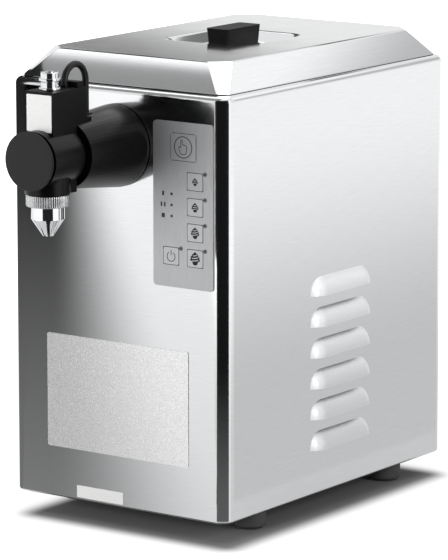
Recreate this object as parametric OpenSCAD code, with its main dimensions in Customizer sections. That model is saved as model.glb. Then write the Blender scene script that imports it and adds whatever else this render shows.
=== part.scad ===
// Counter-top cream whipper: a cooled steel casing with a tank and a pump inside, a dispensing
// arm with a solenoid valve and a star nozzle on the front, and a lid that lifts off.
// Millimetres. The origin is on the table under the middle of the whole machine,
// +Z is up, -Y is the front and +X is the right-hand side with the louvres.

/* [Casing] */
// Width of the casing
body_w = 243; // [225:1:270]
// Depth of the casing
body_d = 366; // [345:1:400]
// Height of the casing, bottom edge to lid seam
body_h = 390; // [370:1:430]
// Outside radius of the upright corners
corner_r = 12.5; // [10:0.5:16]
// Outside bend radius of the shoulder under the lid
shoulder_r = 6; // [4:0.5:8]
// Outside bend radius along the bottom edge
hem_r = 2.4; // [2:0.1:4]
// Thickness of the steel sheet
sheet_t = 1.2; // [1:0.1:1.5]
// Thickness of the base plate
base_t = 1.5; // [1:0.1:3]
// How far the base plate stays inside the casing's outline
base_inset = 6; // [4:0.5:9]

/* [Feet] */
// Diameter of a rubber foot
foot_d = 30; // [24:1:36]
// Height of a rubber foot
foot_h = 16.5; // [12:0.5:25]
// Foot centre to the side of the casing
foot_in_x = 22; // [20:1:40]
// Foot centre to the front or back of the casing
foot_in_y = 69; // [30:1:100]
// Radius of the steel stud moulded into a foot
foot_stud_r = 2.5; // [2:0.5:4]

/* [Rear panel] */
// Thickness of the rear panel
rear_t = 1.2; // [1:0.1:2]
// Rear panel edge to the casing's outline
rear_inset = 13; // [12:0.5:16]
// Width of the frame that the casing leaves around the rear opening
rear_frame = 24; // [22:1:30]
// Radius of a rear panel screw
rear_screw_r = 1.6; // [1.2:0.1:2]
// Height of a rear panel screw's head
rear_screw_h = 2; // [1.5:0.1:3]
// Width of a vent slot in the rear panel
vent_w = 4; // [3:0.5:6]
// Length of a vent slot
vent_len = 60; // [40:1:70]
// Distance between vent slots
vent_pitch = 12; // [9:0.5:16]

/* [Mains inlet] */
// Width of the inlet's body
inlet_w = 28; // [26:0.5:32]
// Height of the inlet's body
inlet_h = 20; // [19:0.5:24]
// Depth of the inlet's body behind the rear panel
inlet_d = 22; // [18:1:30]
// Wall around the inlet's socket
inlet_wall = 2; // [1.5:0.1:2.5]
// Depth of the inlet's socket
inlet_socket_d = 15; // [12:0.5:17]
// Height of the inlet's middle above the casing's bottom edge
inlet_z = 60; // [45:1:80]
// Middle of the inlet to the side of the casing
inlet_in = 49; // [40:1:60]

/* [Lid] */
// Height from the seam to the lid's flat top
lid_rise = 26.4; // [22:0.2:32]
// How far the lid's rim stays inside the casing's outline
lid_edge = 5; // [3:0.5:6]
// Run of the lid's side slopes
lid_run_x = 16.5; // [12:0.5:20]
// Run of the lid's front and back slopes
lid_run_y = 20; // [15:0.5:26]
// Leg of the corner facet at the lid's top
lid_facet_top = 16; // [12:0.5:20]
// Leg of the corner facet at the lid's rim
lid_facet_rim = 8; // [5:0.5:10]
// Width of the dish in the lid
dish_w = 94; // [85:1:110]
// Depth of the dish, front to back
dish_len = 107; // [100:1:130]
// How deep the dish is sunk
dish_deep = 12; // [8:0.5:14]
// Corner radius of the dish
dish_r = 18; // [12:1:25]
// How much smaller each side of the dish is at its floor
dish_taper = 8; // [2:0.5:10]
// Dish middle behind the casing's middle
dish_back = 1; // [0:1:20]
// Height of the seal under the lid's rim
gasket_h = 0.9; // [0.7:0.1:3]
// How far the lid's locating skirt hangs below the seam
skirt_deep = 6; // [4:0.5:8]

/* [Lid handle] */
// Width of the handle
handle_w = 25; // [20:1:32]
// Length of the handle
handle_len = 55; // [45:1:70]
// Height of the handle above the lid's flat top
handle_up = 10; // [6:0.5:16]
// How much narrower each side of the handle is at its foot
handle_taper = 1.6; // [0.5:0.1:3]
// Radius of a handle screw
handle_screw_r = 2; // [1.5:0.1:3]

/* [Dispensing arm] */
// Front disc of the arm to the casing's front
head_reach = 128; // [120:1:140]
// Arm axis below the lid seam
head_drop = 51.7; // [50:0.1:58]
// Radius of the round head
head_r = 26; // [25.5:0.1:28]
// Radius of the end cap
cap_r = 26.6; // [26:0.1:29]
// Thickness of the end cap's disc
cap_t = 2; // [1.5:0.5:4]
// Radius at the bottom of the two grooves
groove_r = 24; // [23:0.1:25]
// Width of the groove behind the end cap
cap_groove_w = 4; // [3:0.5:6]
// Front disc to the neck groove
neck_at = 47.5; // [46:0.5:50]
// Width of the neck groove
neck_w = 4; // [3:0.5:7]
// Radius of the arm behind the neck groove
arm_r = 30.8; // [30:0.1:33]
// Radius of the arm at the panel
flange_r = 37.8; // [36:0.1:41]
// How far the arm's end at the panel lies below the axis
flange_sag = 1.5; // [0:0.5:4]
// Length of the straight rim at the panel
flange_t = 3; // [2:0.5:6]
// Radius of the cream passage
passage_r = 13; // [11:0.5:14]
// Thickness of the gasket behind the arm
arm_gasket_t = 1; // [0.5:0.1:2]
// Radius of an arm bolt
arm_bolt_r = 2.5; // [2:0.1:3]
// Arm bolts' distance from the flange's middle
arm_bolt_at = 28; // [27:0.5:30]
// Depth of a bolt hole in the arm
arm_bolt_deep = 14; // [10:1:20]
// Radius of the end cap's plug
plug_r = 18.4; // [17:0.1:20]
// Length of the end cap's plug
plug_len = 11; // [9:0.5:11]
// Thickness of the end cap's sealing ring
seal_d = 2.4; // [1.6:0.1:3]
// Number of baffles on the whipping core
core_baffles = 12; // [8:1:16]
// Radius of the whipping core's rod
core_rod_r = 5; // [4:0.5:7]

/* [Outlet and nozzle] */
// Front disc to the nozzle's axis
nozzle_at = 26.8; // [26:0.1:28]
// Radius of the outlet boss
boss_r = 20.6; // [20:0.1:21]
// Bottom of the outlet boss below the arm axis
boss_drop = 31.5; // [31:0.5:36]
// Width of the flat-bottomed saddle behind the boss
saddle_w = 33; // [26:0.5:38]
// Radius of the threaded spigot under the boss
spigot_r = 17; // [16:0.1:17.5]
// Length of the threaded spigot
spigot_len = 5.5; // [4:0.5:7]
// Outside radius of the knurled ring nut
ring_r = 19.5; // [18.8:0.1:20]
// Height of the ring nut
ring_h = 11.3; // [9.5:0.1:12]
// Number of flutes around the ring nut
ring_flutes = 40; // [24:1:48]
// Thickness of the ring nut's lip
ring_lip = 1.6; // [1.2:0.1:1.8]
// Radius of the nozzle's body
nozzle_r = 15; // [14:0.1:15.4]
// Straight part of the nozzle below the ring nut
nozzle_body_h = 11.5; // [6:0.5:12]
// Height of the nozzle's cone
nozzle_cone_h = 15.5; // [14:0.5:22]
// Radius of the nozzle's tip
nozzle_tip_r = 4.7; // [4.6:0.1:7]
// Wall of the nozzle
nozzle_wall = 1.3; // [1:0.1:1.5]
// Number of teeth around the nozzle's tip
nozzle_teeth = 8; // [6:1:10]
// Thickness of the nozzle's seal
nozzle_seal_t = 0.7; // [0.5:0.1:1]

/* [Solenoid valve] */
// Front disc to the valve's axis
valve_at = 31; // [30:0.1:32]
// Front disc to the coil's front face
coil_at = 15.5; // [14:0.1:18]
// Width of the coil's housing
coil_w = 31; // [27:0.1:33]
// Length of the coil's housing
coil_len = 32; // [29:0.5:34]
// Top of the coil above the arm axis
coil_top = 60; // [56:0.5:64]
// Length of the terminal box behind the coil
conn_len = 17.5; // [17:0.5:18.5]
// Length of the lip at the terminal box's foot
conn_lip = 7; // [4:0.5:7.5]
// Height of the cap on the terminal box
conn_cap_h = 5; // [3:0.5:6]
// Radius of the valve's core tube
tube_r = 7.5; // [7:0.1:8]
// Radius of the armature
armature_r = 5; // [4.5:0.1:5.5]
// Length of the armature's thick part
armature_len = 18; // [16:0.5:20]
// Travel of the valve
valve_travel = 5; // [3:0.5:6]
// Radius of the valve pad
pad_r = 8.2; // [7.8:0.1:8.4]
// Thickness of the valve pad
pad_t = 3.5; // [2.5:0.5:5]
// Valve seat below the arm axis
seat_drop = 22; // [20:0.5:24]
// Radius of the hole in the valve seat
seat_r = 6; // [5:0.1:6.5]
// Wire of the return spring
spring_wire = 0.9; // [0.6:0.1:1.1]
// Turns of the return spring
spring_turns = 6; // [5:1:7]
// Diameter of the round top nuts
nut_d = 16.4; // [15:0.1:18]
// Diameter of the collar under each top nut
nut_collar_d = 19.4; // [17:0.1:21]
// Height of one top nut
nut_h = 7.6; // [6:0.1:8]
// Thickness of the coil's label
label_t = 0.3; // [0.2:0.1:0.5]
// Width of the coil's label
label_w = 27.5; // [20:0.5:29]
// Height of the coil's label
label_h = 33; // [26:0.5:34]

/* [Valve lead] */
// Diameter of the lead
lead_d = 6; // [5:0.1:6.4]
// Back of the coil to the lead's leg in the terminal box
lead_back = 4.3; // [4.2:0.1:5.5]
// Distance between the lead's two legs
lead_span = 31; // [28:0.2:32]
// Crown of the lead's middle line above the arm axis
lead_crown = 79; // [76:0.5:84]

/* [Keypad] */
// Right edge of the keypad to the side of the casing
keypad_in = 13; // [12:0.5:16]
// Top edge of the keypad below the lid seam
keypad_drop = 26; // [24:0.5:40]
// Gap between the arm's flange and the keypad
keypad_gap = 4.4; // [2.5:0.1:8]
// Height of the keypad
keypad_h = 150.5; // [148:0.5:156]
// Thickness of the keypad
keypad_t = 1.2; // [1:0.1:2]
// Width of a small key
key_w = 16.6; // [14:0.1:18]
// Height of a small key
key_h = 15.5; // [13:0.1:18]
// Distance between portion keys
key_pitch = 23.2; // [21:0.1:24]
// Width of the hand key
hand_key_w = 27.7; // [24:0.1:30]
// Height of the hand key
hand_key_h = 24.2; // [20:0.1:26]
// Thickness of a key
key_t = 0.8; // [0.6:0.05:1]
// Travel of a key
key_travel = 0.5; // [0.2:0.05:0.5]
// Diameter of a status light
light_d = 2.6; // [2:0.1:3]
// How far a status light stands out
light_t = 0.3; // [0.2:0.1:0.5]

/* [Front plates] */
// Width of the badge plate
badge_w = 160.7; // [140:0.1:180]
// Height of the badge plate
badge_h = 107; // [90:1:115]
// Thickness of the badge plate
badge_t = 0.6; // [0.4:0.1:1]
// Badge plate above the casing's bottom edge
badge_z = 48; // [30:1:60]
// Width of the small sticker
sticker_w = 53; // [40:1:70]
// Height of the small sticker
sticker_h = 11.4; // [8:0.2:16]

/* [Louvres] */
// Number of louvres on each side
louvre_count = 6; // [3:1:6]
// Length of a louvre's straight lip part between its round ends
louvre_run = 64; // [50:1:80]
// Height of a louvre
louvre_h = 17; // [13:0.5:20]
// How far a louvre stands out
louvre_out = 8.5; // [6:0.5:10]
// Distance between louvres
louvre_pitch = 29.2; // [26:0.1:32]
// Lowest louvre lip above the casing's bottom edge
louvre_z = 43.2; // [30:0.1:60]
// Louvres' middle behind the casing's middle
louvre_back = 1; // [0:1:20]

/* [Tank] */
// Room between the insulation and the casing's side
foam_side_room = 13.2; // [8:0.1:20]
// Room between the insulation and the casing's back
foam_back_room = 41.4; // [36:0.1:60]
// Height of the bay under the insulation
bay_h = 205.7; // [200:0.1:215]
// Wall of the cream tank
tank_t = 1.2; // [0.8:0.1:2]
// Corner radius of the cream tank
tank_r = 16; // [10:1:25]
// Room between the tank and its well
tank_gap = 1.5; // [1:0.1:2.5]
// Wall of the well liner
liner_t = 1; // [0.8:0.1:1.5]
// Thickness of the evaporator jacket
evap_t = 1.5; // [1:0.1:2]
// Room above the evaporator jacket
evap_top = 33; // [20:1:45]
// Thickness of the insulation
foam_t = 22; // [16:1:24]
// Depth of the spill tray below the seam
tray_deep = 12; // [11:0.5:13]
// Radius of the suction tube
suction_r = 6; // [5:0.1:6.5]
// Wall of the suction tube
suction_wall = 1; // [0.8:0.1:1.5]

/* [Pump and drive] */
// Radius of the pump's body
pump_r = 21; // [20:0.1:21.5]
// Length of the pump's body
pump_len = 30; // [29:0.5:32]
// Thickness of the pump's flange
pump_flange_t = 6; // [5:0.5:8]
// Radius of the pump's chamber
chamber_r = 16; // [14:0.1:17]
// Thickness of the pump's cover
pump_cover_t = 5; // [4:0.5:7]
// Radius of the pump's shaft
shaft_r = 4; // [3:0.1:5]
// Width of a pulley
pulley_w = 12; // [11:0.5:14]
// Radius of the pump pulley under the belt
pump_pulley_r = 20; // [16:0.5:24]
// Radius of the motor pulley under the belt
motor_pulley_r = 10; // [8:0.5:12]
// Thickness of the belt
belt_t = 2; // [1.5:0.1:2.4]
// Motor axis above the casing's bottom edge
motor_up = 153.3; // [145:0.1:155]
// Radius of the drive motor
motor_r = 30; // [26:1:32]
// Length of the drive motor
motor_len = 68; // [55:1:72]
// Thickness of the motor bracket
bracket_t = 3; // [2:0.5:4]

/* [Cooling unit] */
// Radius of the compressor
comp_r = 60; // [52:1:64]
// Height of the compressor on its mounts
comp_h = 140; // [120:1:155]
// Height of a compressor mount
comp_mount_h = 12; // [8:1:16]
// Thickness of the condenser
cond_t = 26; // [20:1:30]
// Length of the condenser
cond_len = 104; // [90:1:115]
// Height of the condenser
cond_h = 165; // [140:1:175]
// Number of gaps between the condenser's fins
cond_gaps = 20; // [12:1:24]
// Radius of the fan
fan_r = 42; // [36:1:46]
// Width of the fan
fan_w = 14; // [10:1:16]
// Number of fan blades
fan_blades = 5; // [4:1:7]
// Radius of the fan motor
fan_motor_r = 18; // [15:1:20]
// Length of the fan motor
fan_motor_len = 32; // [26:1:36]
// Radius of a refrigerant line
line_r = 3; // [2.5:0.1:4]

/* [Hidden] */
$fn = 64;
hull_fn = 32;

// Clearances: between pieces that move apart, round fits, and the overrun of cuts
gap = 0.3;
slip = 0.06;
over = 1;

// Main places
rear_stack = rear_t + rear_screw_h;
half_w = body_w / 2;
y_tip = -(head_reach + body_d + rear_stack) / 2;
y_front = y_tip + head_reach;
y_back = y_front + body_d;
y_mid = (y_front + y_back) / 2;
z_base = foot_h + base_t;
z_seam = z_base + body_h;
z_axis = z_seam - head_drop;
y_inside = y_front + sheet_t;
y_nozzle = y_tip + nozzle_at;
y_valve = y_tip + valve_at;

// Casing: the lips fill most of the corner radius
lip_share = 0.96;
lip_in = corner_r * lip_share;
louvre_r = (louvre_h * louvre_h + louvre_out * louvre_out) / (2 * louvre_out);
louvre_sink = louvre_r - louvre_out;
louvre_y = y_mid + louvre_back;
ribbon_slot_shares = [0.3, 0.03];

// Rear panel screws, as shares of the panel's half width and half height
rear_screw_shares = [[-1, -1], [0, -1], [1, -1], [-1, 0], [1, 0], [-1, 1], [0, 1], [1, 1]];
rear_screw_in = (rear_frame - rear_inset) / 2;
rear_w = body_w - 2 * rear_inset;
rear_h = body_h - 2 * rear_inset;
rear_head_share = 2.1;
rear_screw_grip = 6;
vent_rows = 9;
vent_x_share = 0.62;
vent_z_share = 0.62;
foot_edge_share = 0.1;
foot_stud_up = 5;

// Inlet: pins and flange
inlet_x = half_w - inlet_in;
inlet_flange = 3;
inlet_flange_t = rear_screw_h;
inlet_pin_shares = [[-0.26, -0.1], [0, 0.16], [0.26, -0.1]];
inlet_pin = [2, 4];
inlet_pin_len_share = 0.62;

// Lid
z_rim = z_seam + gasket_h;
z_top = z_seam + lid_rise;
lid_wall_share = 1.35;
tray_rim_in = shoulder_r + over;
tray_wall_room = 3;
tray_wall_in = lip_in + tray_wall_room;
tray_wall_r = 8;
skirt_room = 1;
skirt_in = tray_wall_in + sheet_t + skirt_room;
gasket_shares = [0.2, 0.8];
gasket_seat = 0.2;
dish_y = y_mid + dish_back;
z_dish = z_top - dish_deep;
handle_r = 3;
handle_screw_share = 0.3;
handle_screw_grip = 10;
screw_head_share = 1.8;
handle_head_h = 2.4;

// Arm
y_arm_back = y_front - arm_gasket_t;
y_neck = y_tip + neck_at;
y_arm = y_neck + neck_w;
y_face = y_tip + cap_t + gap;
z_flange = z_axis - flange_sag;
core_back = 5;
core_from = y_tip + neck_at - core_back;
core_baffle_share = 0.45;
core_cut_share = 0.55;
plug_seal_share = 0.55;
cap_edge_share = 0.16;
tube_up = coil_top - over;
tube_foot = passage_r;
armature_from = 30.8;
stem_r_share = 0.4;
spring_pocket_share = 0.72;
spring_pocket_deep_share = 0.55;
spring_r = armature_r * spring_pocket_share - spring_wire;
spring_from = armature_from + armature_len * (1 - spring_pocket_deep_share);
spring_to = armature_from + armature_len + valve_travel + over;
spring_ring = 8;
stud_r_share = 0.55;
stud_r = tube_r * stud_r_share;
nut_gap = 0.8;
conn_lip_t = 2;
conn_in = 0.8;
label_in = 2.5;
nut_collar_share = 0.32;
conn_cap_share = 0.77;

// Nozzle, downwards from the arm axis
ring_top = boss_drop + gap;
ring_bottom = boss_drop + ring_h;
nozzle_flange_top = boss_drop + spigot_len + nozzle_seal_t + 2 * slip;
nozzle_lip_top = ring_bottom - ring_lip;
nozzle_tip = ring_bottom + nozzle_body_h + nozzle_cone_h;
flute_share = 0.055;
tooth_w_share = 0.5;
tooth_h_share = 0.8;

// Lead
lead_r = lead_d / 2;
lead_bend = lead_span / 2;
y_lead = y_tip + coil_at + coil_len + lead_back;
y_lead_in = y_lead + lead_span;
lead_grip = 8;
arm_at_lead = arm_r + (flange_r - arm_r) * (y_lead_in - y_arm) / (y_arm_back - flange_t - y_arm);
sag_at_lead = flange_sag * (y_lead_in - y_arm) / (y_arm_back - flange_t - y_arm);
grommet_top = arm_at_lead - sag_at_lead;
grommet_wall = 1.2;
grommet_r = lead_r + grommet_wall;
grommet_rim = 0.8;
lead_pocket = 10;

// Keys: left and bottom edges as shares of the keypad
portion_key_x_share = 0.575;
portion_key_z_share = 0.137;
power_key_x_share = 0.174;
hand_key_x_share = 0.295;
hand_key_z_share = 0.771;
key_r = 1.5;
keypad_r = 3.5;
key_proud = 0.2;
status_x_share = 0.308;
status_z_shares = [0.43, 0.497, 0.564];
keypad_x = flange_r + keypad_gap;
keypad_w = half_w - keypad_in - keypad_x;
x_keys = keypad_x + keypad_w * portion_key_x_share;
z_keypad = z_seam - keypad_drop - keypad_h;
z_keys = z_keypad + keypad_h * portion_key_z_share;
x_power = keypad_x + keypad_w * power_key_x_share;
x_hand = keypad_x + keypad_w * hand_key_x_share;
z_hand = z_keypad + keypad_h * hand_key_z_share;
badge_x = -0.2;
badge_r = 2;
sticker_x = -20.8;
board_gap = 8;
board_t = 1.6;
board_edge = 4;
board_post_r = 3;
chip_shares = [[0.3, 0.2, 0.4, 0.16], [0.2, 0.5, 0.25, 0.1], [0.55, 0.5, 0.3, 0.3], [0.2, 0.68, 0.2, 0.2]];
chip_h = 4;

// Pump, drive and suction tube, backwards from the panel's inner face
y_pump = y_inside + pump_flange_t;
y_cover = y_pump + pump_len;
pulley_room = 2;
y_pulley = y_cover + pump_cover_t + pulley_room;
bracket_room = 3;
y_bracket = y_pulley + pulley_w + bracket_room;
z_motor = z_base + motor_up;
belt_span = z_axis - z_motor;
port_room = 2;
port_wall = 2;
port_seat = 1;
y_port = y_front + skirt_in + sheet_t + suction_r + port_room;
port_r = suction_r + port_wall;
port_up = 9;
pulley_rim = 2.4;
pulley_rim_t = 1.2;
pump_flange_in = 3;
pump_vanes = 4;
vane_t = 3;
hub_share = 0.55;
bracket_half = 34;
bracket_foot = 26;
motor_boss_share = 0.4;
shaft_grip = 18;

// Insulation from the bay's top to the tray, then the well and the tank inside it
y_foam = y_bracket + bracket_t;
foam_w = body_w - 2 * sheet_t - 2 * foam_side_room;
foam_len = y_back - sheet_t - foam_back_room - y_foam;
foam_room = liner_t + gap + evap_t + gap;
foam_r = 14;
y_well = y_foam + foam_len / 2;
z_foam = z_base + bay_h;
z_liner = z_foam + foam_t;
z_tray = z_seam - tray_deep;
well_w = foam_w - 2 * foam_t - 2 * foam_room;
well_len = foam_len - 2 * foam_t - 2 * foam_room;
well_flange = 10;
evap_up = 12;
evap_h = z_tray - z_liner - evap_up - evap_top;
tank_w = well_w - 2 * tank_gap;
tank_len = well_len - 2 * tank_gap;
tank_flange = 8;
z_tank_top = z_tray + liner_t + tank_t;
z_tank = z_liner + liner_t + tank_gap;

// Suction tube
suction_bend = 12;
suction_back = 18;
suction_lift = 10;
crown_room = 3;
z_crown = z_tank_top + suction_r + crown_room;
y_suction = y_well - tank_len / 2 + tank_t + suction_back;

// Cooling unit
cond_gap = 1;
x_cond = half_w - lip_in - cond_gap - cond_t;
fan_gap = 5;
x_fan = x_cond - fan_gap - fan_w;
fan_up = 20;
z_fan = z_base + cond_h / 2 + fan_up;
x_fan_motor = x_fan - fan_gap - fan_motor_len;
fan_shaft_r = 2.5;
fan_hub_r = 13;
blade_t = 1.6;
blade_angle = 35;
fan_plate_half = 22;
comp_wall_gap = 18;
x_comp = -half_w + sheet_t + comp_wall_gap + comp_r;
y_comp = y_back - comp_wall_gap - comp_r;
comp_plate_t = 3;
comp_mount_r = 9;
comp_dome_share = 0.3;
comp_neck_share = 0.94;
z_comp = z_base + comp_mount_h;
fin_margin = 6;
fin_gap_share = 0.55;
fin_depth_share = 0.8;
line_out = 16;
line_up = 110;
z_line = z_base + line_up;
line_drop_share = 0.4;
elbow_share = 1.15;

// Shared shapes

// Flat outline with round corners, centred
module rounded_rect(w, d, r) {
    square([w - 2 * r, d], center = true);
    square([w, d - 2 * r], center = true);
    for (x = [-1, 1], y = [-1, 1])
        translate([x * (w / 2 - r), y * (d / 2 - r)])
            circle(r);
}

// Upright plate with round corners, centred in plan
module plate(w, d, r, h) {
    linear_extrude(h)
        rounded_rect(w, d, r);
}

// Plate that follows the casing's outline at an inset
module body_plate(inset, r, h) {
    translate([0, y_mid, 0])
        plate(body_w - 2 * inset, body_d - 2 * inset, r, h);
}

// Cylinder along Y from its front end
module along_y(r, len) {
    rotate([-90, 0, 0])
        cylinder(r = r, h = len);
}

// Cylinder along X from its left end
module along_x(r, len) {
    rotate([0, 90, 0])
        cylinder(r = r, h = len);
}

// Flat plate on the front panel: left, bottom, width, height, corner, back face, thickness
module front_plate(x, z, w, h, r, y, t) {
    translate([x + w / 2, y, z + h / 2])
        rotate([90, 0, 0])
            linear_extrude(t)
                rounded_rect(w, h, r);
}

// Open tub with a flange around its mouth
module tub(w, len, r, top, bottom, wall, flange, flange_thick) {
    difference() {
        union() {
            translate([0, y_well, bottom])
                plate(w, len, r, top - bottom);
            translate([0, y_well, top - flange_thick])
                plate(w + 2 * flange, len + 2 * flange, r + flange, flange_thick);
        }
        translate([0, y_well, bottom + wall])
            plate(w - 2 * wall, len - 2 * wall, r - wall, top - bottom);
    }
}

// Casing and base

// Quarter of a bent sheet
module quarter_ring(r, turn) {
    rotate(turn)
        intersection() {
            difference() {
                circle(r);
                circle(r - sheet_t);
            }
            square(r);
        }
}

// Section of the casing's wall: hem, wall, shoulder and the two lips, outer face at zero
module wall_section() {
    translate([-sheet_t, hem_r])
        square([sheet_t, body_h - hem_r - shoulder_r]);
    translate([-shoulder_r, body_h - shoulder_r])
        quarter_ring(shoulder_r, 0);
    translate([-lip_in, body_h - sheet_t])
        square([lip_in - shoulder_r, sheet_t]);
    translate([-hem_r, hem_r])
        quarter_ring(hem_r, -90);
    translate([-lip_in, 0])
        square([lip_in - hem_r, sheet_t]);
}

module wall_ring() {
    translate([0, y_mid, z_base]) {
        for (s = [0, 1])
            mirror([0, s, 0])
                translate([corner_r - half_w, body_d / 2, 0])
                    rotate([90, 0, 90])
                        linear_extrude(body_w - 2 * corner_r)
                            wall_section();
        for (s = [0, 1])
            mirror([s, 0, 0])
                translate([half_w, body_d / 2 - corner_r, 0])
                    rotate([90, 0, 0])
                        linear_extrude(body_d - 2 * corner_r)
                            wall_section();
        for (x = [0, 1], y = [0, 1])
            mirror([x, 0, 0])
                mirror([0, y, 0])
                    translate([half_w - corner_r, body_d / 2 - corner_r, 0])
                        rotate_extrude(angle = 90)
                            translate([corner_r, 0])
                                wall_section();
    }
}

// Bar with ball ends that a louvre is a quarter of
module louvre_bar(r) {
    rotate([90, 0, 0])
        cylinder(r = r, h = louvre_run, center = true);
    for (s = [-1, 1])
        translate([0, s * louvre_run / 2, 0])
            sphere(r);
}

module louvre_places() {
    for (side = [0, 1], i = [0 : louvre_count - 1])
        mirror([side, 0, 0])
            translate([half_w - louvre_sink, louvre_y, z_base + louvre_z + i * louvre_pitch])
                children();
}

// Upper outer quarter of a louvre bar, from a plane inwards of its crown
module louvre_quarter(from) {
    intersection() {
        children();
        translate([from, -louvre_run - louvre_r, 0])
            cube([louvre_r, 2 * (louvre_run + louvre_r), 2 * louvre_r]);
    }
}

module arm_bolt_places() {
    for (a = [45 : 90 : 315])
        translate([arm_bolt_at * cos(a), 0, z_flange + arm_bolt_at * sin(a)])
            children();
}

module rear_screw_places() {
    for (p = rear_screw_shares)
        translate([p[0] * (rear_w / 2 - rear_screw_in), y_back,
                z_base + body_h / 2 + p[1] * (rear_h / 2 - rear_screw_in)])
            children();
}

module casing() {
    color("silver") {
        difference() {
            wall_ring();
            louvre_places()
                louvre_quarter(louvre_sink - 2 * sheet_t)
                    louvre_bar(louvre_r - sheet_t);
            translate([rear_frame - half_w, y_back - rear_frame, z_base + rear_frame])
                cube([body_w - 2 * rear_frame, 2 * rear_frame, body_h - 2 * rear_frame]);
            translate([0, y_front - over, z_axis])
                along_y(passage_r, sheet_t + 2 * over);
            translate([0, y_front - over, 0])
                arm_bolt_places()
                    along_y(arm_bolt_r + gap, sheet_t + 2 * over);
            rear_screw_places()
                translate([0, -sheet_t - over, 0])
                    along_y(rear_screw_r + slip, sheet_t + 2 * over);
            translate([keypad_x + keypad_w * (1 - ribbon_slot_shares[0]) / 2, y_front - over,
                    z_keypad + keypad_h / 2])
                cube([keypad_w * ribbon_slot_shares[0], sheet_t + 2 * over,
                    keypad_h * ribbon_slot_shares[1]]);
        }
        louvre_places()
            louvre_quarter(louvre_sink - sheet_t)
                difference() {
                    louvre_bar(louvre_r);
                    louvre_bar(louvre_r - sheet_t);
                }
    }
}

module foot_places() {
    for (x = [-1, 1], y = [-1, 1])
        translate([x * (half_w - foot_in_x), y_mid + y * (body_d / 2 - foot_in_y), 0])
            children();
}

module base_plate() {
    color("gray") difference() {
        translate([0, 0, foot_h])
            body_plate(base_inset, corner_r - base_inset / 2, base_t);
        foot_places()
            translate([0, 0, foot_h - over])
                cylinder(r = foot_stud_r + slip, h = base_t + 2 * over);
    }
}

// Rubber foot with a rounded edge and a stud through the base plate
module feet() {
    edge = foot_d * foot_edge_share;
    color("dimgray") foot_places() {
        rotate_extrude()
            polygon([[0, 0], [foot_d / 2 - edge, 0], [foot_d / 2, edge], [foot_d / 2, foot_h], [0, foot_h]]);
        cylinder(r = foot_stud_r, h = foot_h + base_t + foot_stud_up);
    }
}

module rear_panel() {
    color("silver") difference() {
        translate([0, y_back + rear_t, z_base + body_h / 2])
            rotate([90, 0, 0])
                linear_extrude(rear_t)
                    rounded_rect(rear_w, rear_h, rear_screw_in);
        rear_screw_places()
            translate([0, -over, 0])
                along_y(rear_screw_r + slip, rear_t + 2 * over);
        for (x = [-1, 1], i = [0 : vent_rows - 1])
            translate([x * vent_len * vent_x_share, y_back + rear_t + over,
                    z_base + body_h * vent_z_share - i * vent_pitch])
                rotate([90, 0, 0])
                    linear_extrude(rear_t + 2 * over)
                        rounded_rect(vent_len, vent_w, vent_w / 2 - slip);
        translate([inlet_x - inlet_w / 2 - slip, y_back - over, z_base + inlet_z - inlet_h / 2 - slip])
            cube([inlet_w + 2 * slip, rear_t + 2 * over, inlet_h + 2 * slip]);
    }
}

module rear_panel_screws() {
    color("gainsboro") rear_screw_places() {
        translate([0, rear_t, 0])
            along_y(rear_screw_r * rear_head_share, rear_screw_h);
        translate([0, -sheet_t - rear_screw_grip, 0])
            along_y(rear_screw_r, sheet_t + rear_screw_grip + rear_t + over);
    }
}

// Mains socket: a box through the rear panel, a flange and three pins
module power_inlet() {
    y_out = y_back + rear_t;
    color("black") translate([inlet_x, y_out, z_base + inlet_z]) {
        difference() {
            union() {
                translate([-inlet_w / 2, -inlet_d, -inlet_h / 2])
                    cube([inlet_w, inlet_d, inlet_h]);
                translate([-inlet_w / 2 - inlet_flange, 0, -inlet_h / 2 - inlet_flange])
                    cube([inlet_w + 2 * inlet_flange, inlet_flange_t, inlet_h + 2 * inlet_flange]);
            }
            translate([inlet_wall - inlet_w / 2, inlet_flange_t - inlet_socket_d, inlet_wall - inlet_h / 2])
                cube([inlet_w - 2 * inlet_wall, inlet_socket_d + over, inlet_h - 2 * inlet_wall]);
        }
        for (p = inlet_pin_shares)
            translate([p[0] * inlet_w - inlet_pin[0] / 2, inlet_flange_t - inlet_socket_d - over,
                    p[1] * inlet_h - inlet_pin[1] / 2])
                cube([inlet_pin[0], inlet_socket_d * inlet_pin_len_share + over, inlet_pin[1]]);
    }
}

// Spill tray, tank and insulated well

module deck_tray() {
    color("lightgray") difference() {
        union() {
            translate([0, 0, z_seam - 2 * sheet_t])
                body_plate(tray_rim_in, corner_r - shoulder_r, sheet_t);
            translate([0, 0, z_tray - sheet_t])
                body_plate(tray_wall_in, tray_wall_r, tray_deep - sheet_t);
        }
        translate([0, 0, z_tray])
            body_plate(tray_wall_in + sheet_t, tray_wall_r - sheet_t, tray_deep);
        translate([0, y_well, z_tray - sheet_t - over])
            plate(well_w + 2 * liner_t + 2 * slip, well_len + 2 * liner_t + 2 * slip, tank_r + tank_gap,
                sheet_t + 2 * over);
        translate([0, y_port, z_tray - sheet_t - over])
            cylinder(r = suction_r + gap, h = sheet_t + 2 * over);
    }
}

module well_liner() {
    color("lightgray")
        tub(well_w + 2 * liner_t, well_len + 2 * liner_t, tank_r + tank_gap, z_tray + liner_t, z_liner,
        liner_t, well_flange, liner_t);
}

module cream_tank() {
    color("whitesmoke") tub(tank_w, tank_len, tank_r, z_tank_top, z_tank, tank_t, tank_flange, tank_t);
}

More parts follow.
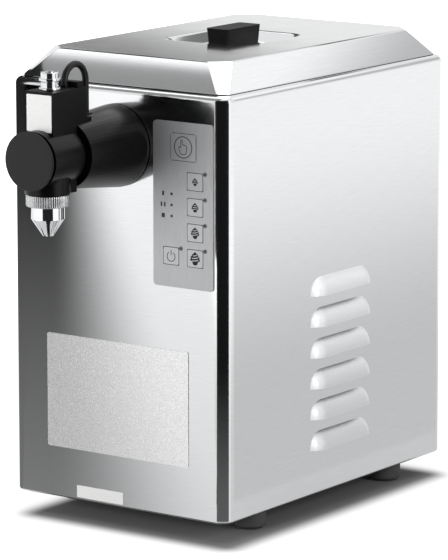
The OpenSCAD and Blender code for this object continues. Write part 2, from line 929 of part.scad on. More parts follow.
// Cooling jacket around the liner, with two stubs for the lines
module evaporator() {
    w = well_w + 2 * liner_t + 2 * gap;
    len = well_len + 2 * liner_t + 2 * gap;
    color("darkgray") difference() {
        union() {
            translate([0, y_well, z_liner + evap_up])
                plate(w + 2 * evap_t, len + 2 * evap_t, tank_r + tank_gap, evap_h);
            for (x = [-1, 1])
                translate([x * line_out, y_well + len / 2, z_liner + evap_up + line_out])
                    along_y(line_r, evap_t + gap + foam_t + line_out);
        }
        translate([0, y_well, z_liner + evap_up - over])
            plate(w, len, tank_r + tank_gap - evap_t, evap_h + 2 * over);
    }
}

module insulation() {
    color("khaki") difference() {
        translate([0, y_well, z_foam])
            plate(foam_w, foam_len, foam_r, z_tray - sheet_t - z_foam);
        translate([0, y_well, z_liner])
            plate(foam_w - 2 * foam_t, foam_len - 2 * foam_t, tank_r + tank_gap, z_tray - z_liner);
        for (x = [-1, 1])
            translate([x * line_out, y_well, z_liner + evap_up + line_out])
                along_y(line_r + slip, foam_len);
    }
}

// Lid

// Lid outline at an inset from the casing, with cut corners
module lid_outline(inset_x, inset_y, facet) {
    x = half_w - inset_x;
    y = body_d / 2 - inset_y;
    polygon([[facet - x, -y], [x - facet, -y], [x, facet - y], [x, y - facet],
            [x - facet, y], [facet - x, y], [-x, y - facet], [-x, facet - y]]);
}

// Solid of the lid from its rim to its flat top, shrunk by a wall
module lid_form(shrink, top) {
    translate([0, y_mid, 0])
        hull() {
            translate([0, 0, z_rim - shrink])
                linear_extrude(slip)
                    lid_outline(lid_edge + shrink * lid_wall_share, lid_edge + shrink * lid_wall_share,
                        lid_facet_rim);
            translate([0, 0, top - slip])
                linear_extrude(slip)
                    lid_outline(lid_edge + lid_run_x + shrink, lid_edge + lid_run_y + shrink, lid_facet_top);
        }
}

// Dish with sloping walls, grown by a wall
module dish_form(grow, bottom, top) {
    w = dish_w + 2 * grow;
    len = dish_len + 2 * grow;
    r = dish_r + grow;
    translate([0, dish_y, 0])
        hull() {
            translate([0, 0, bottom])
                plate(w - 2 * dish_taper, len - 2 * dish_taper, r - dish_taper, slip, $fn = hull_fn);
            translate([0, 0, top - slip])
                plate(w, len, r, slip, $fn = hull_fn);
        }
}

module handle_screw_places() {
    for (s = [-1, 1])
        translate([0, dish_y + s * handle_len * handle_screw_share, 0])
            children();
}

module lid() {
    rim_in = lid_edge + sheet_t * lid_wall_share;
    color("silver") difference() {
        union() {
            difference() {
                lid_form(0, z_top);
                lid_form(sheet_t, z_top - sheet_t);
            }
            dish_form(sheet_t, z_dish - sheet_t, z_top - sheet_t / 2);
            difference() {
                union() {
                    translate([0, y_mid, z_rim])
                        linear_extrude(sheet_t)
                            lid_outline(rim_in, rim_in, lid_facet_rim);
                    translate([0, 0, z_seam - skirt_deep])
                        body_plate(skirt_in, tray_wall_r - 2 * sheet_t, skirt_deep + gasket_h + sheet_t);
                }
                translate([0, 0, z_seam - skirt_deep - over])
                    body_plate(skirt_in + sheet_t, tray_wall_r - 3 * sheet_t,
                        skirt_deep + gasket_h + sheet_t + 2 * over);
            }
        }
        dish_form(0, z_dish, z_top + slip);
        handle_screw_places()
            translate([0, 0, z_dish - sheet_t - over])
                cylinder(r = handle_screw_r + slip, h = sheet_t + 2 * over);
    }
}

// Rubber strip under the lid's rim, clear of the casing's shoulder bend
module lid_gasket() {
    width = lip_in - shoulder_r;
    color("black") difference() {
        translate([0, 0, z_seam + gasket_seat])
            body_plate(shoulder_r + width * gasket_shares[0], corner_r - shoulder_r, gasket_h - gasket_seat);
        translate([0, 0, z_seam])
            body_plate(shoulder_r + width * gasket_shares[1], (corner_r - shoulder_r) / 2, gasket_h + over);
    }
}

// Block, narrower at its foot for the fingers
module lid_handle() {
    high = dish_deep + handle_up;
    color("black") difference() {
        translate([0, dish_y, z_dish])
            hull() {
                plate(handle_w - 2 * handle_taper, handle_len - 2 * handle_taper, handle_r, slip,
                    $fn = hull_fn);
                translate([0, 0, high - slip])
                    plate(handle_w, handle_len, handle_r, slip, $fn = hull_fn);
            }
        handle_screw_places()
            translate([0, 0, z_dish - over])
                cylinder(r = handle_screw_r + slip, h = handle_screw_grip + 2 * over);
    }
}

module lid_handle_screws() {
    color("gainsboro") handle_screw_places() {
        translate([0, 0, z_dish - sheet_t - handle_head_h])
            cylinder(r = handle_screw_r * screw_head_share, h = handle_head_h);
        translate([0, 0, z_dish - sheet_t - over])
            cylinder(r = handle_screw_r, h = sheet_t + over + handle_screw_grip);
    }
}

// Dispensing arm

// Outside of the arm: head, grooves, widening arm and rim, grown by a fit
module arm_form(fit) {
    translate([0, y_face - fit, z_axis])
        along_y(groove_r + fit, y_arm - y_face + over + fit);
    translate([0, y_tip + cap_t + cap_groove_w - fit, z_axis])
        along_y(head_r + fit, y_neck - y_tip - cap_t - cap_groove_w + 2 * fit);
    hull() {
        translate([0, y_arm - fit, z_axis])
            along_y(arm_r + fit, slip);
        translate([0, y_arm_back - flange_t, z_flange])
            along_y(flange_r + fit, slip);
    }
    translate([0, y_arm_back - flange_t, z_flange])
        along_y(flange_r + fit, flange_t);
}

module arm_housing() {
    color([0.07, 0.07, 0.07]) difference() {
        union() {
            arm_form(0);
            translate([0, y_nozzle, z_axis - boss_drop])
                cylinder(r = boss_r, h = boss_drop);
            translate([-saddle_w / 2, y_nozzle, z_axis - boss_drop])
                cube([saddle_w, y_neck - y_nozzle, boss_drop]);
            translate([0, y_nozzle, z_axis - boss_drop - spigot_len])
                cylinder(r = spigot_r, h = spigot_len + over);
        }
        translate([0, y_face - over, z_axis])
            along_y(plug_r + slip, plug_len + over);
        translate([0, y_face, z_axis])
            along_y(passage_r, head_reach);
        translate([0, y_valve, z_axis - seat_drop])
            cylinder(r = pad_r + gap, h = seat_drop);
        translate([0, y_valve, z_axis - 2 * boss_drop])
            cylinder(r = seat_r, h = 2 * boss_drop);
        translate([0, y_valve, z_axis])
            cylinder(r = tube_r + slip, h = coil_top);
        translate([0, y_arm_back - arm_bolt_deep, 0])
            arm_bolt_places()
                along_y(arm_bolt_r, arm_bolt_deep + over);
        translate([0, y_lead_in, z_axis + grommet_top - lead_pocket])
            cylinder(r = grommet_r + slip, h = coil_top);
        translate([0, y_lead_in, z_axis + grommet_top - over])
            cylinder(r = grommet_r + 2 * grommet_rim, h = coil_top);
    }
}

module arm_gasket() {
    color("black") difference() {
        translate([0, y_arm_back, z_flange])
            along_y(flange_r - over, arm_gasket_t);
        translate([0, y_arm_back - over, z_axis])
            along_y(passage_r, arm_gasket_t + 2 * over);
        translate([0, y_arm_back - over, 0])
            arm_bolt_places()
                along_y(arm_bolt_r + gap, arm_gasket_t + 2 * over);
    }
}

// Bolts from inside the casing that hold the pump, the panel and the arm together
module arm_bolts() {
    shank = arm_bolt_deep - over + arm_gasket_t + sheet_t + pump_flange_t;
    color("gainsboro") arm_bolt_places() {
        translate([0, y_pump, 0])
            along_y(arm_bolt_r * screw_head_share, 2 * arm_bolt_r);
        translate([0, y_pump - shank, 0])
            along_y(arm_bolt_r - slip, shank + over);
    }
}

// Labyrinth: a rod with baffles that are cut away above and below in turn
module whip_core() {
    len = y_front - arm_gasket_t - core_from;
    pitch = len / core_baffles;
    color("ivory") translate([0, core_from, z_axis]) {
        along_y(core_rod_r, len);
        for (i = [0 : core_baffles - 1])
            translate([0, i * pitch, 0])
                difference() {
                    along_y(passage_r - slip, pitch * core_baffle_share);
                    rotate([0, i * 180, 0])
                        translate([-passage_r, -over, passage_r * core_cut_share])
                            cube([2 * passage_r, pitch + over, passage_r]);
                }
    }
}

// Disc with a broken edge and a plug that carries the sealing ring
module end_cap() {
    edge = cap_t * cap_edge_share;
    groove = seal_d + 2 * slip;
    plug_to = cap_t + plug_len - gap;
    seal_from = cap_t + plug_len * plug_seal_share - groove / 2;
    color([0.16, 0.16, 0.16]) translate([0, y_tip, z_axis])
        rotate([-90, 0, 0])
            rotate_extrude()
                polygon([[0, 0], [cap_r - edge, 0], [cap_r, edge], [cap_r, cap_t], [plug_r, cap_t],
                        [plug_r, seal_from], [plug_r - groove, seal_from],
                        [plug_r - groove, seal_from + groove], [plug_r, seal_from + groove],
                        [plug_r, plug_to], [0, plug_to]]);
}

module end_cap_seal() {
    color("black") translate([0, y_tip + cap_t + plug_len * plug_seal_share, z_axis])
        rotate([-90, 0, 0])
            rotate_extrude()
                translate([plug_r - seal_d / 2 - slip, 0])
                    circle(seal_d / 2);
}

// Solenoid valve

// Tube that the armature slides in, closed at its top, with a stud for the nuts
module core_tube() {
    bore_top = spring_to + over;
    color("silver") translate([0, y_valve, z_axis])
        difference() {
            union() {
                translate([0, 0, tube_foot])
                    cylinder(r = tube_r, h = tube_up - tube_foot);
                cylinder(r = stud_r, h = coil_top + 2 * nut_h + 2 * nut_gap);
            }
            translate([0, 0, -over])
                cylinder(r = armature_r + slip, h = bore_top + over);
        }
}

module coil_block(w, from, len, bottom) {
    translate([-w / 2, from, z_axis + bottom])
        cube([w, len, coil_top - bottom]);
}

module solenoid_coil() {
    color([0.1, 0.1, 0.1]) difference() {
        coil_block(coil_w, y_tip + coil_at, coil_len, passage_r);
        translate([0, y_face, z_axis])
            along_y(head_r + slip, head_reach);
        translate([0, y_valve, z_axis])
            cylinder(r = tube_r + slip, h = coil_top + over);
    }
}

// Box behind the coil with a cap, the lead's collar and a lip on the arm
module coil_connector() {
    y_box = y_tip + coil_at + coil_len + slip;
    lip_top = arm_r + conn_lip_t;
    cap_from = y_lead + grommet_r + gap;
    w = coil_w - 2 * conn_in;
    cap_w = w * conn_cap_share;
    color([0.08, 0.08, 0.08]) difference() {
        union() {
            coil_block(w, y_box, conn_len, passage_r);
            translate([-w / 2, y_box, z_axis + passage_r])
                cube([w, conn_len + conn_lip, lip_top - passage_r]);
            translate([-cap_w / 2, cap_from, z_axis + coil_top - over])
                cube([cap_w, y_box + conn_len - cap_from, conn_cap_h + over]);
            translate([0, y_lead, z_axis + coil_top - over])
                cylinder(r = lead_r + over, h = over + conn_cap_h / 2);
        }
        arm_form(slip);
        translate([0, y_lead, z_axis + coil_top - lead_grip])
            cylinder(r = lead_r + slip, h = lead_grip + 2 * conn_cap_h);
    }
}

// Label on the coil's front, cut round above the head
module coil_label() {
    color("white") difference() {
        front_plate(-label_w / 2, z_axis + coil_top - label_in - label_h, label_w, label_h, over,
            y_tip + coil_at, label_t);
        translate([0, y_face, z_axis])
            along_y(head_r + slip, head_reach);
    }
}

// Two round collar nuts on the core tube's stud
module core_nut() {
    color("gainsboro") translate([0, y_valve, z_axis + coil_top])
        difference() {
            union() {
                for (i = [0, 1])
                    translate([0, 0, i * (nut_h + nut_gap)]) {
                        cylinder(d = nut_d, h = nut_h);
                        cylinder(d = nut_collar_d, h = nut_h * nut_collar_share);
                    }
                cylinder(r = nut_d / 2 - over, h = 2 * nut_h + nut_gap);
            }
            translate([0, 0, -over])
                cylinder(r = stud_r + slip, h = 2 * nut_h + nut_gap + 2 * over);
        }
}

module armature() {
    stem = armature_r * stem_r_share;
    pad_top = pad_t - seat_drop + slip;
    color("lightgray") translate([0, y_valve, z_axis]) {
        difference() {
            translate([0, 0, armature_from])
                cylinder(r = armature_r, h = armature_len);
            translate([0, 0, spring_from - slip])
                cylinder(r = armature_r * spring_pocket_share, h = armature_len);
        }
        translate([0, 0, pad_top])
            cylinder(r = stem, h = armature_from - pad_top + over);
    }
}

module valve_pad() {
    color("black") translate([0, y_valve, z_axis - seat_drop + slip])
        cylinder(r = pad_r, h = pad_t);
}

// Ring of points around a path point whose direction is along the unit vector d
function ring_points(p, d, r, sides) = let(
        u = cross(d, abs(d[2]) > 1 / 2 ? [1, 0, 0] : [0, 0, 1]),
        n = u / norm(u),
        m = cross(d, n))
    [for (k = [0 : sides - 1]) p + r * (cos(360 * k / sides) * n + sin(360 * k / sides) * m)];

// Closed tube through a list of points, as one solid of triangles
module swept_tube(path, r, sides) {
    last = len(path) - 1;
    rings = [for (i = [0 : last]) let(d = path[min(i + 1, last)] - path[max(i - 1, 0)])
            ring_points(path[i], d / norm(d), r, sides)];
    points = [for (ring = rings, p = ring) p];
    sides_faces = [for (i = [0 : last - 1], k = [0 : sides - 1], half = [0, 1]) let(
            a = i * sides + k,
            b = i * sides + (k + 1) % sides)
        half == 0 ? [a, b, b + sides] : [a, b + sides, a + sides]];
    ends = [for (k = [1 : sides - 2], end = [0, 1])
        end == 0 ? [0, k + 1, k] : [last * sides, last * sides + k, last * sides + k + 1]];
    polyhedron(points = points, faces = concat(sides_faces, ends));
}

// Coil spring between the armature's pocket and the top of the core tube
module return_spring() {
    steps = spring_turns * spring_ring;
    low = spring_from + spring_wire;
    high = spring_to - spring_wire;
    path = [for (i = [0 : steps])
        [spring_r * cos(360 * i / spring_ring), spring_r * sin(360 * i / spring_ring),
            low + (high - low) * i / steps]];
    color("silver") translate([0, y_valve, z_axis])
        swept_tube(path, spring_wire / 2, 6);
}

// Lead: up out of the terminal box, over in a half circle and down into the arm
module coil_lead() {
    z_bend = z_axis + lead_crown - lead_bend;
    z_end = z_axis + grommet_top - lead_pocket;
    color([0.05, 0.05, 0.05]) {
        translate([0, y_lead, z_axis + coil_top - lead_grip])
            cylinder(r = lead_r, h = z_bend - z_axis - coil_top + lead_grip);
        translate([0, y_lead + lead_bend, z_bend])
            rotate([90, 0, 90])
                rotate_extrude(angle = 180)
                    translate([lead_bend, 0])
                        circle(lead_r);
        translate([0, y_lead_in, z_end])
            cylinder(r = lead_r, h = z_bend - z_end);
    }
}

module lead_grommet() {
    z_seat = z_axis + grommet_top - over;
    color([0.04, 0.04, 0.04]) translate([0, y_lead_in, 0])
        difference() {
            union() {
                translate([0, 0, z_seat - lead_pocket + over])
                    cylinder(r = grommet_r, h = lead_pocket);
                translate([0, 0, z_seat])
                    cylinder(r = grommet_r + grommet_rim, h = 2 * grommet_rim);
            }
            translate([0, 0, z_seat - lead_pocket])
                cylinder(r = lead_r + slip, h = 2 * lead_pocket);
        }
}

// Outlet nozzle

// Ring nut: plain bore, inner lip under the nozzle's flange, flutes outside
module nozzle_ring() {
    flute = ring_r * flute_share;
    color("silver") translate([0, y_nozzle, z_axis])
        difference() {
            translate([0, 0, -ring_bottom])
                cylinder(r = ring_r, h = ring_bottom - ring_top);
            translate([0, 0, -nozzle_lip_top])
                cylinder(r = spigot_r + slip, h = ring_bottom);
            translate([0, 0, -ring_bottom - over])
                cylinder(r = nozzle_r + gap, h = ring_bottom);
            for (i = [0 : ring_flutes - 1])
                rotate(360 * i / ring_flutes)
                    translate([ring_r + flute / 2, 0, -ring_bottom - over])
                        cylinder(r = flute, h = ring_h + 2 * over, $fn = 16);
        }
}

// Nozzle: flange, straight body and a cone whose tip is slotted into a star
module star_nozzle() {
    cone_top = ring_bottom + nozzle_body_h;
    inner_r = nozzle_r - nozzle_wall;
    tip_in = nozzle_tip_r - nozzle_wall;
    slot_h = nozzle_cone_h * tooth_h_share;
    slot_w = nozzle_tip_r * tooth_w_share;
    color("gainsboro") translate([0, y_nozzle, z_axis])
        difference() {
            rotate_extrude()
                polygon([[tip_in, -nozzle_tip], [nozzle_tip_r, -nozzle_tip], [nozzle_r, -cone_top],
                        [nozzle_r, -nozzle_lip_top + slip], [spigot_r - gap, -nozzle_lip_top + slip],
                        [spigot_r - gap, -nozzle_flange_top], [inner_r, -nozzle_flange_top],
                        [inner_r, -cone_top]]);
            for (i = [0 : nozzle_teeth - 1])
                rotate(360 * i / nozzle_teeth)
                    translate([0, 0, -nozzle_tip])
                        rotate([90, 0, 90])
                            linear_extrude(nozzle_r)
                                polygon([[-slot_w / 2, -over], [slot_w / 2, -over], [0, slot_h]]);
        }
}

module nozzle_seal() {
    color("black") translate([0, y_nozzle, z_axis - boss_drop - spigot_len - nozzle_seal_t - slip])
        difference() {
            cylinder(r = spigot_r - gap, h = nozzle_seal_t);
            translate([0, 0, -over])
                cylinder(r = nozzle_r - nozzle_wall, h = nozzle_seal_t + 2 * over);
        }
}

// Keypad, plates and control board

module key_window(x, z, w, h) {
    front_plate(x - gap, z - gap, w + 2 * gap, h + 2 * gap, key_r, y_front + over, keypad_t + 2 * over);
}

module key(x, z, w, h) {
    color("darkgray") front_plate(x, z, w, h, key_r, y_front - keypad_t - key_proud + key_t, key_t);
}

module keypad() {
    color("gray") difference() {
        front_plate(keypad_x, z_keypad, keypad_w, keypad_h, keypad_r, y_front, keypad_t);
        for (i = [0 : 3])
            key_window(x_keys, z_keys + i * key_pitch, key_w, key_h);
        key_window(x_power, z_keys, key_w, key_h);
        key_window(x_hand, z_hand, hand_key_w, hand_key_h);
    }
}

module key_manual() {
    key(x_hand, z_hand, hand_key_w, hand_key_h);
}

module key_portion(i) {
    key(x_keys, z_keys + i * key_pitch, key_w, key_h);
}

module key_power() {
    key(x_power, z_keys, key_w, key_h);
}

module light(x, z) {
    translate([x, y_front - keypad_t - light_t, z])
        along_y(light_d / 2, light_t);
}

// Lights in a column of three, and one beside each small key
module status_lights() {
    beside = light_d;
    color("black") {
        for (s = status_z_shares)
            light(keypad_x + keypad_w * status_x_share, z_keypad + keypad_h * s);
        for (i = [0 : 3])
            light(x_keys + key_w + beside, z_keys + i * key_pitch + key_h);
        light(x_power + key_w + beside, z_keys + key_h);
    }
}

module badge_plate() {
    color("lightgray")
        front_plate(badge_x - badge_w / 2, z_base + badge_z, badge_w, badge_h, badge_r, y_front, badge_t);
}

module sticker_plate() {
    color("white")
        front_plate(sticker_x - sticker_w / 2, z_base + hem_r + gap, sticker_w, sticker_h, over, y_front,
            label_t);
}

// Circuit board behind the keypad on four posts, with its larger components
module control_board() {
    w = keypad_w - 2 * board_edge;
    h = keypad_h - 2 * board_edge;
    x = keypad_x + board_edge;
    z = z_keypad + board_edge;
    y = y_inside + board_gap + board_t;
    color("darkgreen") {
        front_plate(x, z, w, h, board_edge / 2, y, board_t);
        for (a = [0, 1], b = [0, 1])
            translate([x + board_edge + a * (w - 2 * board_edge), y_inside,
                z + board_edge + b * (h - 2 * board_edge)])
                along_y(board_post_r, board_gap + over);
        for (c = chip_shares)
            translate([x + c[0] * w, y - over, z + c[1] * h])
                cube([c[2] * w, chip_h + over, c[3] * h]);
    }
}

// Pump and drive

module pump_housing() {
    color("lightgray") difference() {
        union() {
            translate([0, y_inside, z_flange])
                along_y(flange_r - pump_flange_in, pump_flange_t);
            translate([0, y_inside, z_axis])
                along_y(pump_r, pump_flange_t + pump_len);
            translate([0, y_port, z_axis])
                cylinder(r = port_r, h = pump_r + port_up);
        }
        translate([0, y_pump, z_axis])
            along_y(chamber_r, pump_len + over);
        translate([0, y_inside - over, z_axis])
            along_y(chamber_r * hub_share, pump_flange_t + 2 * over);
        translate([0, y_port, z_axis])
            cylinder(r = suction_r - suction_wall, h = pump_r + port_up + over);
        translate([0, y_port, z_axis + pump_r + over])
            cylinder(r = suction_r + slip, h = port_up);
        translate([0, y_inside - over, 0])
            arm_bolt_places()
                along_y(arm_bolt_r + slip, pump_flange_t + 2 * over);
    }
}

module pump_cover() {
    color("silver") translate([0, y_cover, z_axis])
        difference() {
            along_y(pump_r, pump_cover_t);
            translate([0, -over, 0])
                along_y(shaft_r + slip, pump_cover_t + 2 * over);
        }
}

// Rotor with vanes on the shaft that goes out through the cover
module pump_rotor() {
    len = pump_len - 2 * gap;
    color("ivory") translate([0, y_pump + gap, z_axis]) {
        along_y(chamber_r * hub_share, len);
        for (i = [0 : pump_vanes - 1])
            rotate([0, 360 * i / pump_vanes, 0])
                translate([-vane_t / 2, 0, 0])
                    cube([vane_t, len, chamber_r - gap]);
        along_y(shaft_r, y_pulley + pulley_w - y_pump - gap);
    }
}

// Belt pulley with a rim on each side, bored for its shaft
module pulley(r, bore) {
    rotate([-90, 0, 0])
        rotate_extrude()
            polygon([[bore, 0], [r + pulley_rim, 0], [r + pulley_rim, pulley_rim_t], [r, pulley_rim_t],
                    [r, pulley_w - pulley_rim_t], [r + pulley_rim, pulley_w - pulley_rim_t],
                    [r + pulley_rim, pulley_w], [bore, pulley_w]]);
}

module pump_pulley() {
    color("darkgray") translate([0, y_pulley, z_axis])
        pulley(pump_pulley_r, shaft_r + slip);
}

// Outline of the belt's path at a distance from the pulleys
module belt_outline(out) {
    hull() {
        circle(pump_pulley_r + out, $fn = 2 * hull_fn);
        translate([0, -belt_span])
            circle(motor_pulley_r + out, $fn = 2 * hull_fn);
    }
}

module drive_belt() {
    belt_w = pulley_w - 2 * pulley_rim_t - 2 * gap;
    color([0.1, 0.1, 0.1]) translate([0, y_pulley + pulley_w / 2 + belt_w / 2, z_axis])
        rotate([90, 0, 0])
            linear_extrude(belt_w)
                difference() {
                    belt_outline(gap + belt_t);
                    belt_outline(gap);
                }
}

// Motor pulley and the motor shaft that it is fixed on
module motor_pulley() {
    color("darkgray") translate([0, y_pulley, z_motor]) {
        pulley(motor_pulley_r, shaft_r / 2);
        along_y(shaft_r, y_bracket + bracket_t + shaft_grip - y_pulley);
    }
}

module drive_motor() {
    color("dimgray") translate([0, y_bracket + bracket_t, z_motor])
        difference() {
            along_y(motor_r, motor_len);
            translate([0, -over, 0])
                along_y(shaft_r + slip, shaft_grip + gap + over);
        }
}

// Upright plate on a foot, bored for the motor's shaft
module motor_bracket() {
    color("gray") difference() {
        union() {
            translate([-bracket_half, y_bracket, z_base])
                cube([2 * bracket_half, bracket_t, z_motor + bracket_half - z_base]);
            translate([-bracket_half, y_bracket, z_base])
                cube([2 * bracket_half, bracket_foot, bracket_t]);
        }
        translate([0, y_bracket - over, z_motor])
            along_y(motor_r * motor_boss_share, bracket_t + 2 * over);
    }
}

// Tube section swept a quarter turn in the YZ plane
module tube_elbow(turn) {
    rotate([turn, 0, 0])
        rotate([90, 0, 90])
            rotate_extrude(angle = 90)
                translate([suction_bend, 0])
                    tube_section();
}

module tube_section() {
    difference() {
        circle(suction_r);
        circle(suction_r - suction_wall);
    }
}

// Tube from the pump's port over the tank's edge to its floor
module suction_tube() {
    z_port = z_axis + pump_r + port_seat;
    z_bend = z_crown - suction_bend;
    z_end = z_tank + tank_t + suction_lift;
    color("silver") {
        translate([0, y_port, z_port])
            linear_extrude(z_bend - z_port)
                tube_section();
        translate([0, y_port + suction_bend, z_bend])
            tube_elbow(90);
        translate([0, y_suction - suction_bend, z_crown])
            rotate([90, 0, 0])
                linear_extrude(y_suction - y_port - 2 * suction_bend)
                    tube_section();
        translate([0, y_suction - suction_bend, z_bend])
            tube_elbow(0);
        translate([0, y_suction, z_end])
            linear_extrude(z_bend - z_end)
                tube_section();
    }
}

// Cooling unit

// Compressor pot on a foot plate, with four rubber mounts under it
module compressor() {
    dome = comp_r * comp_dome_share;
    neck = comp_r * comp_neck_share;
    shell = comp_h - comp_mount_h;
    color("black") translate([x_comp, y_comp, 0]) {
        translate([0, 0, z_comp])
            plate(2 * comp_r, 2 * comp_r, comp_mount_r, comp_plate_t);
        translate([0, 0, z_comp])
            rotate_extrude()
                polygon([[0, 0], [neck, 0], [neck, shell / 2], [comp_r, shell / 2 + over],
                        [comp_r, shell - dome], [comp_r - dome, shell], [0, shell]]);
        for (x = [-1, 1], y = [-1, 1])
            translate([x * (comp_r - comp_mount_r), y * (comp_r - comp_mount_r), z_base])
                cylinder(r = comp_mount_r, h = comp_mount_h);
    }
}

// Finned block behind the louvres, standing on the base plate
module condenser() {
    fin_pitch = (cond_h - 2 * fin_margin) / cond_gaps;
    cut = cond_t * fin_depth_share;
    color("darkgray") translate([x_cond, louvre_y - cond_len / 2, z_base])
        difference() {
            cube([cond_t, cond_len, cond_h]);
            for (i = [0 : cond_gaps - 1])
                translate([cond_t - cut, fin_margin, fin_margin + (i + (1 - fin_gap_share) / 2) * fin_pitch])
                    cube([cut + over, cond_len - 2 * fin_margin, fin_pitch * fin_gap_share]);
        }
}

// Hub with pitched blades, bored for the motor's shaft
module fan_blade() {
    color("black") translate([x_fan, louvre_y, z_fan])
        difference() {
            union() {
                along_x(fan_hub_r, fan_w);
                intersection() {
                    along_x(fan_r, fan_w);
                    for (i = [0 : fan_blades - 1])
                        rotate([360 * i / fan_blades, 0, 0])
                            translate([fan_w / 2, 0, fan_hub_r / 2])
                                rotate([0, 0, blade_angle])
                                    translate([-fan_w, -blade_t / 2, 0])
                                        cube([2 * fan_w, blade_t, fan_r]);
                }
            }
            translate([-over, 0, 0])
                along_x(fan_shaft_r + slip, fan_w + 2 * over);
        }
}

module fan_motor() {
    color("dimgray") translate([x_fan_motor, louvre_y, z_fan]) {
        along_x(fan_motor_r, fan_motor_len);
        along_x(fan_shaft_r, x_fan + fan_w - x_fan_motor);
    }
}

// Upright plate on a foot that carries the fan motor
module fan_bracket() {
    color("gray") translate([x_fan_motor - bracket_t, louvre_y - fan_plate_half, z_base]) {
        cube([bracket_t, 2 * fan_plate_half, z_fan + fan_motor_r - z_base]);
        cube([bracket_foot, 2 * fan_plate_half, bracket_t]);
    }
}

// Straight pipe from a point, turned from upright
module pipe(from, turn, len) {
    translate(from)
        rotate(turn)
            cylinder(r = line_r, h = len);
}

module elbow(at) {
    translate(at)
        sphere(line_r * elbow_share);
}

// Lines from compressor to condenser, to the cooling jacket and back
module refrigerant_lines() {
    x_end = x_cond + cond_t / 2;
    y_end = louvre_y + cond_len / 2;
    y_stub = y_well + foam_len / 2 + line_out + line_r * elbow_share;
    z_stub = z_liner + evap_up + line_out;
    z_low = z_line - cond_h * line_drop_share;
    z_dome = z_comp + comp_h - comp_mount_h;
    color("peru") {
        pipe([x_comp + comp_r, y_comp, z_line], [0, 90, 0], x_end - x_comp - comp_r);
        elbow([x_end, y_comp, z_line]);
        pipe([x_end, y_end, z_line], [-90, 0, 0], y_comp - y_end);
        pipe([x_end, y_end, z_low], [-90, 0, 0], y_stub - y_end);
        elbow([x_end, y_stub, z_low]);
        pipe([x_end, y_stub, z_low], [0, 0, 0], z_stub - z_low);
        elbow([x_end, y_stub, z_stub]);
        pipe([line_out, y_stub, z_stub], [0, 90, 0], x_end - line_out);
        elbow([line_out, y_stub, z_stub]);
        elbow([-line_out, y_stub, z_stub]);
        pipe([-line_out, y_stub, z_dome + line_out], [0, 0, 0], z_stub - z_dome - line_out);
        elbow([-line_out, y_stub, z_dome + line_out]);
        pipe([-line_out, y_comp, z_dome + line_out], [-90, 0, 0], y_stub - y_comp);
        elbow([-line_out, y_comp, z_dome + line_out]);
        pipe([-line_out, y_comp, z_dome], [0, 0, 0], line_out);
    }
}

casing();
base_plate();
feet();
rear_panel();
rear_panel_screws();
power_inlet();
deck_tray();
well_liner();
cream_tank();
evaporator();
insulation();
lid();
lid_gasket();
lid_handle();
lid_handle_screws();
arm_housing();
arm_gasket();
arm_bolts();
whip_core();
end_cap();
end_cap_seal();
core_tube();
solenoid_coil();
coil_connector();
coil_label();
core_nut();
armature();
return_spring();
valve_pad();
coil_lead();
lead_grommet();
nozzle_ring();
star_nozzle();
nozzle_seal();
keypad();
key_manual();
key_portion(0);  // key_portion_1
key_portion(1);  // key_portion_2
key_portion(2);  // key_portion_3
key_portion(3);  // key_portion_4
key_power();
status_lights();
badge_plate();
sticker_plate();
control_board();
pump_housing();
pump_cover();
pump_rotor();
pump_pulley();
drive_belt();
motor_pulley();
drive_motor();
motor_bracket();
suction_tube();
compressor();
condenser();
fan_blade();
fan_motor();
fan_bracket();
refrigerant_lines();
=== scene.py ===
"""Looks of a counter-top cream whipper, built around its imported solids.

All sizes in the classes are millimetres in the frame of the solids: +Z up, -Y to the front, +X to the right
seen from the front. The meshes are in metres.
"""

import logging
import math
from dataclasses import dataclass, field
from enum import Enum
from typing import Optional, Sequence

import bpy
import numpy as np
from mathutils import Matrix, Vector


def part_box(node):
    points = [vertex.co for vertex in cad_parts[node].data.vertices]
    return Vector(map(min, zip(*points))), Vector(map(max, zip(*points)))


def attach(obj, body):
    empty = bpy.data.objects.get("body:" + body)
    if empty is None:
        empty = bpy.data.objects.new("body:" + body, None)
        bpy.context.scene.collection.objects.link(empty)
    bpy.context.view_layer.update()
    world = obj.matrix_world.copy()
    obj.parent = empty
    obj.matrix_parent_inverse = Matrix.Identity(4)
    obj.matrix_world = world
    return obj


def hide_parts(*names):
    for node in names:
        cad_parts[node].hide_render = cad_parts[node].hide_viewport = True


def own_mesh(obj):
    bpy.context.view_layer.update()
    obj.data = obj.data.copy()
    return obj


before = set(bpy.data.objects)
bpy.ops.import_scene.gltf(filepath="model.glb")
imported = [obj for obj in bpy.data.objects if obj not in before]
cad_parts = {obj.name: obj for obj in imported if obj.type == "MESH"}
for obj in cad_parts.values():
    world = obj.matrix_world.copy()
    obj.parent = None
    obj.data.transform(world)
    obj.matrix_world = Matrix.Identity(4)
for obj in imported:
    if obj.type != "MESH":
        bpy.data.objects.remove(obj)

Pair = tuple[float, float]
Triple = tuple[float, float, float]
Tree = bpy.types.NodeTree
Node = bpy.types.Node
Socket = bpy.types.NodeSocket

MM = 0.001
OCTANT = math.pi / 4
ROUND_SHARE = 2 - math.sqrt(2)
NOISE_SPAN = (0.3, 0.7)
CELL_MIDDLE = (0.5, 0.5, 0.5)
WHITE = (1, 1, 1, 1)
# Sockets of a Mix node for colours, which share their names with its other sockets
MIX_A, MIX_B, MIX_OUT = 6, 7, 2
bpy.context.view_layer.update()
log = logging.getLogger("cream_whipper")


class Grain(Enum):
    """How a finish varies over the surface."""

    BRUSHED = "brushed"
    MOULDED = "moulded"
    SPARKLE = "sparkle"


class Body(Enum):
    """Moving bodies that the new pieces ride on."""

    MACHINE = "machine"
    LID = "lid"
    CAP = "end_cap"
    RING = "ring"


NOISE_DETAIL = {Grain.BRUSHED: 2.0, Grain.MOULDED: 3.0}


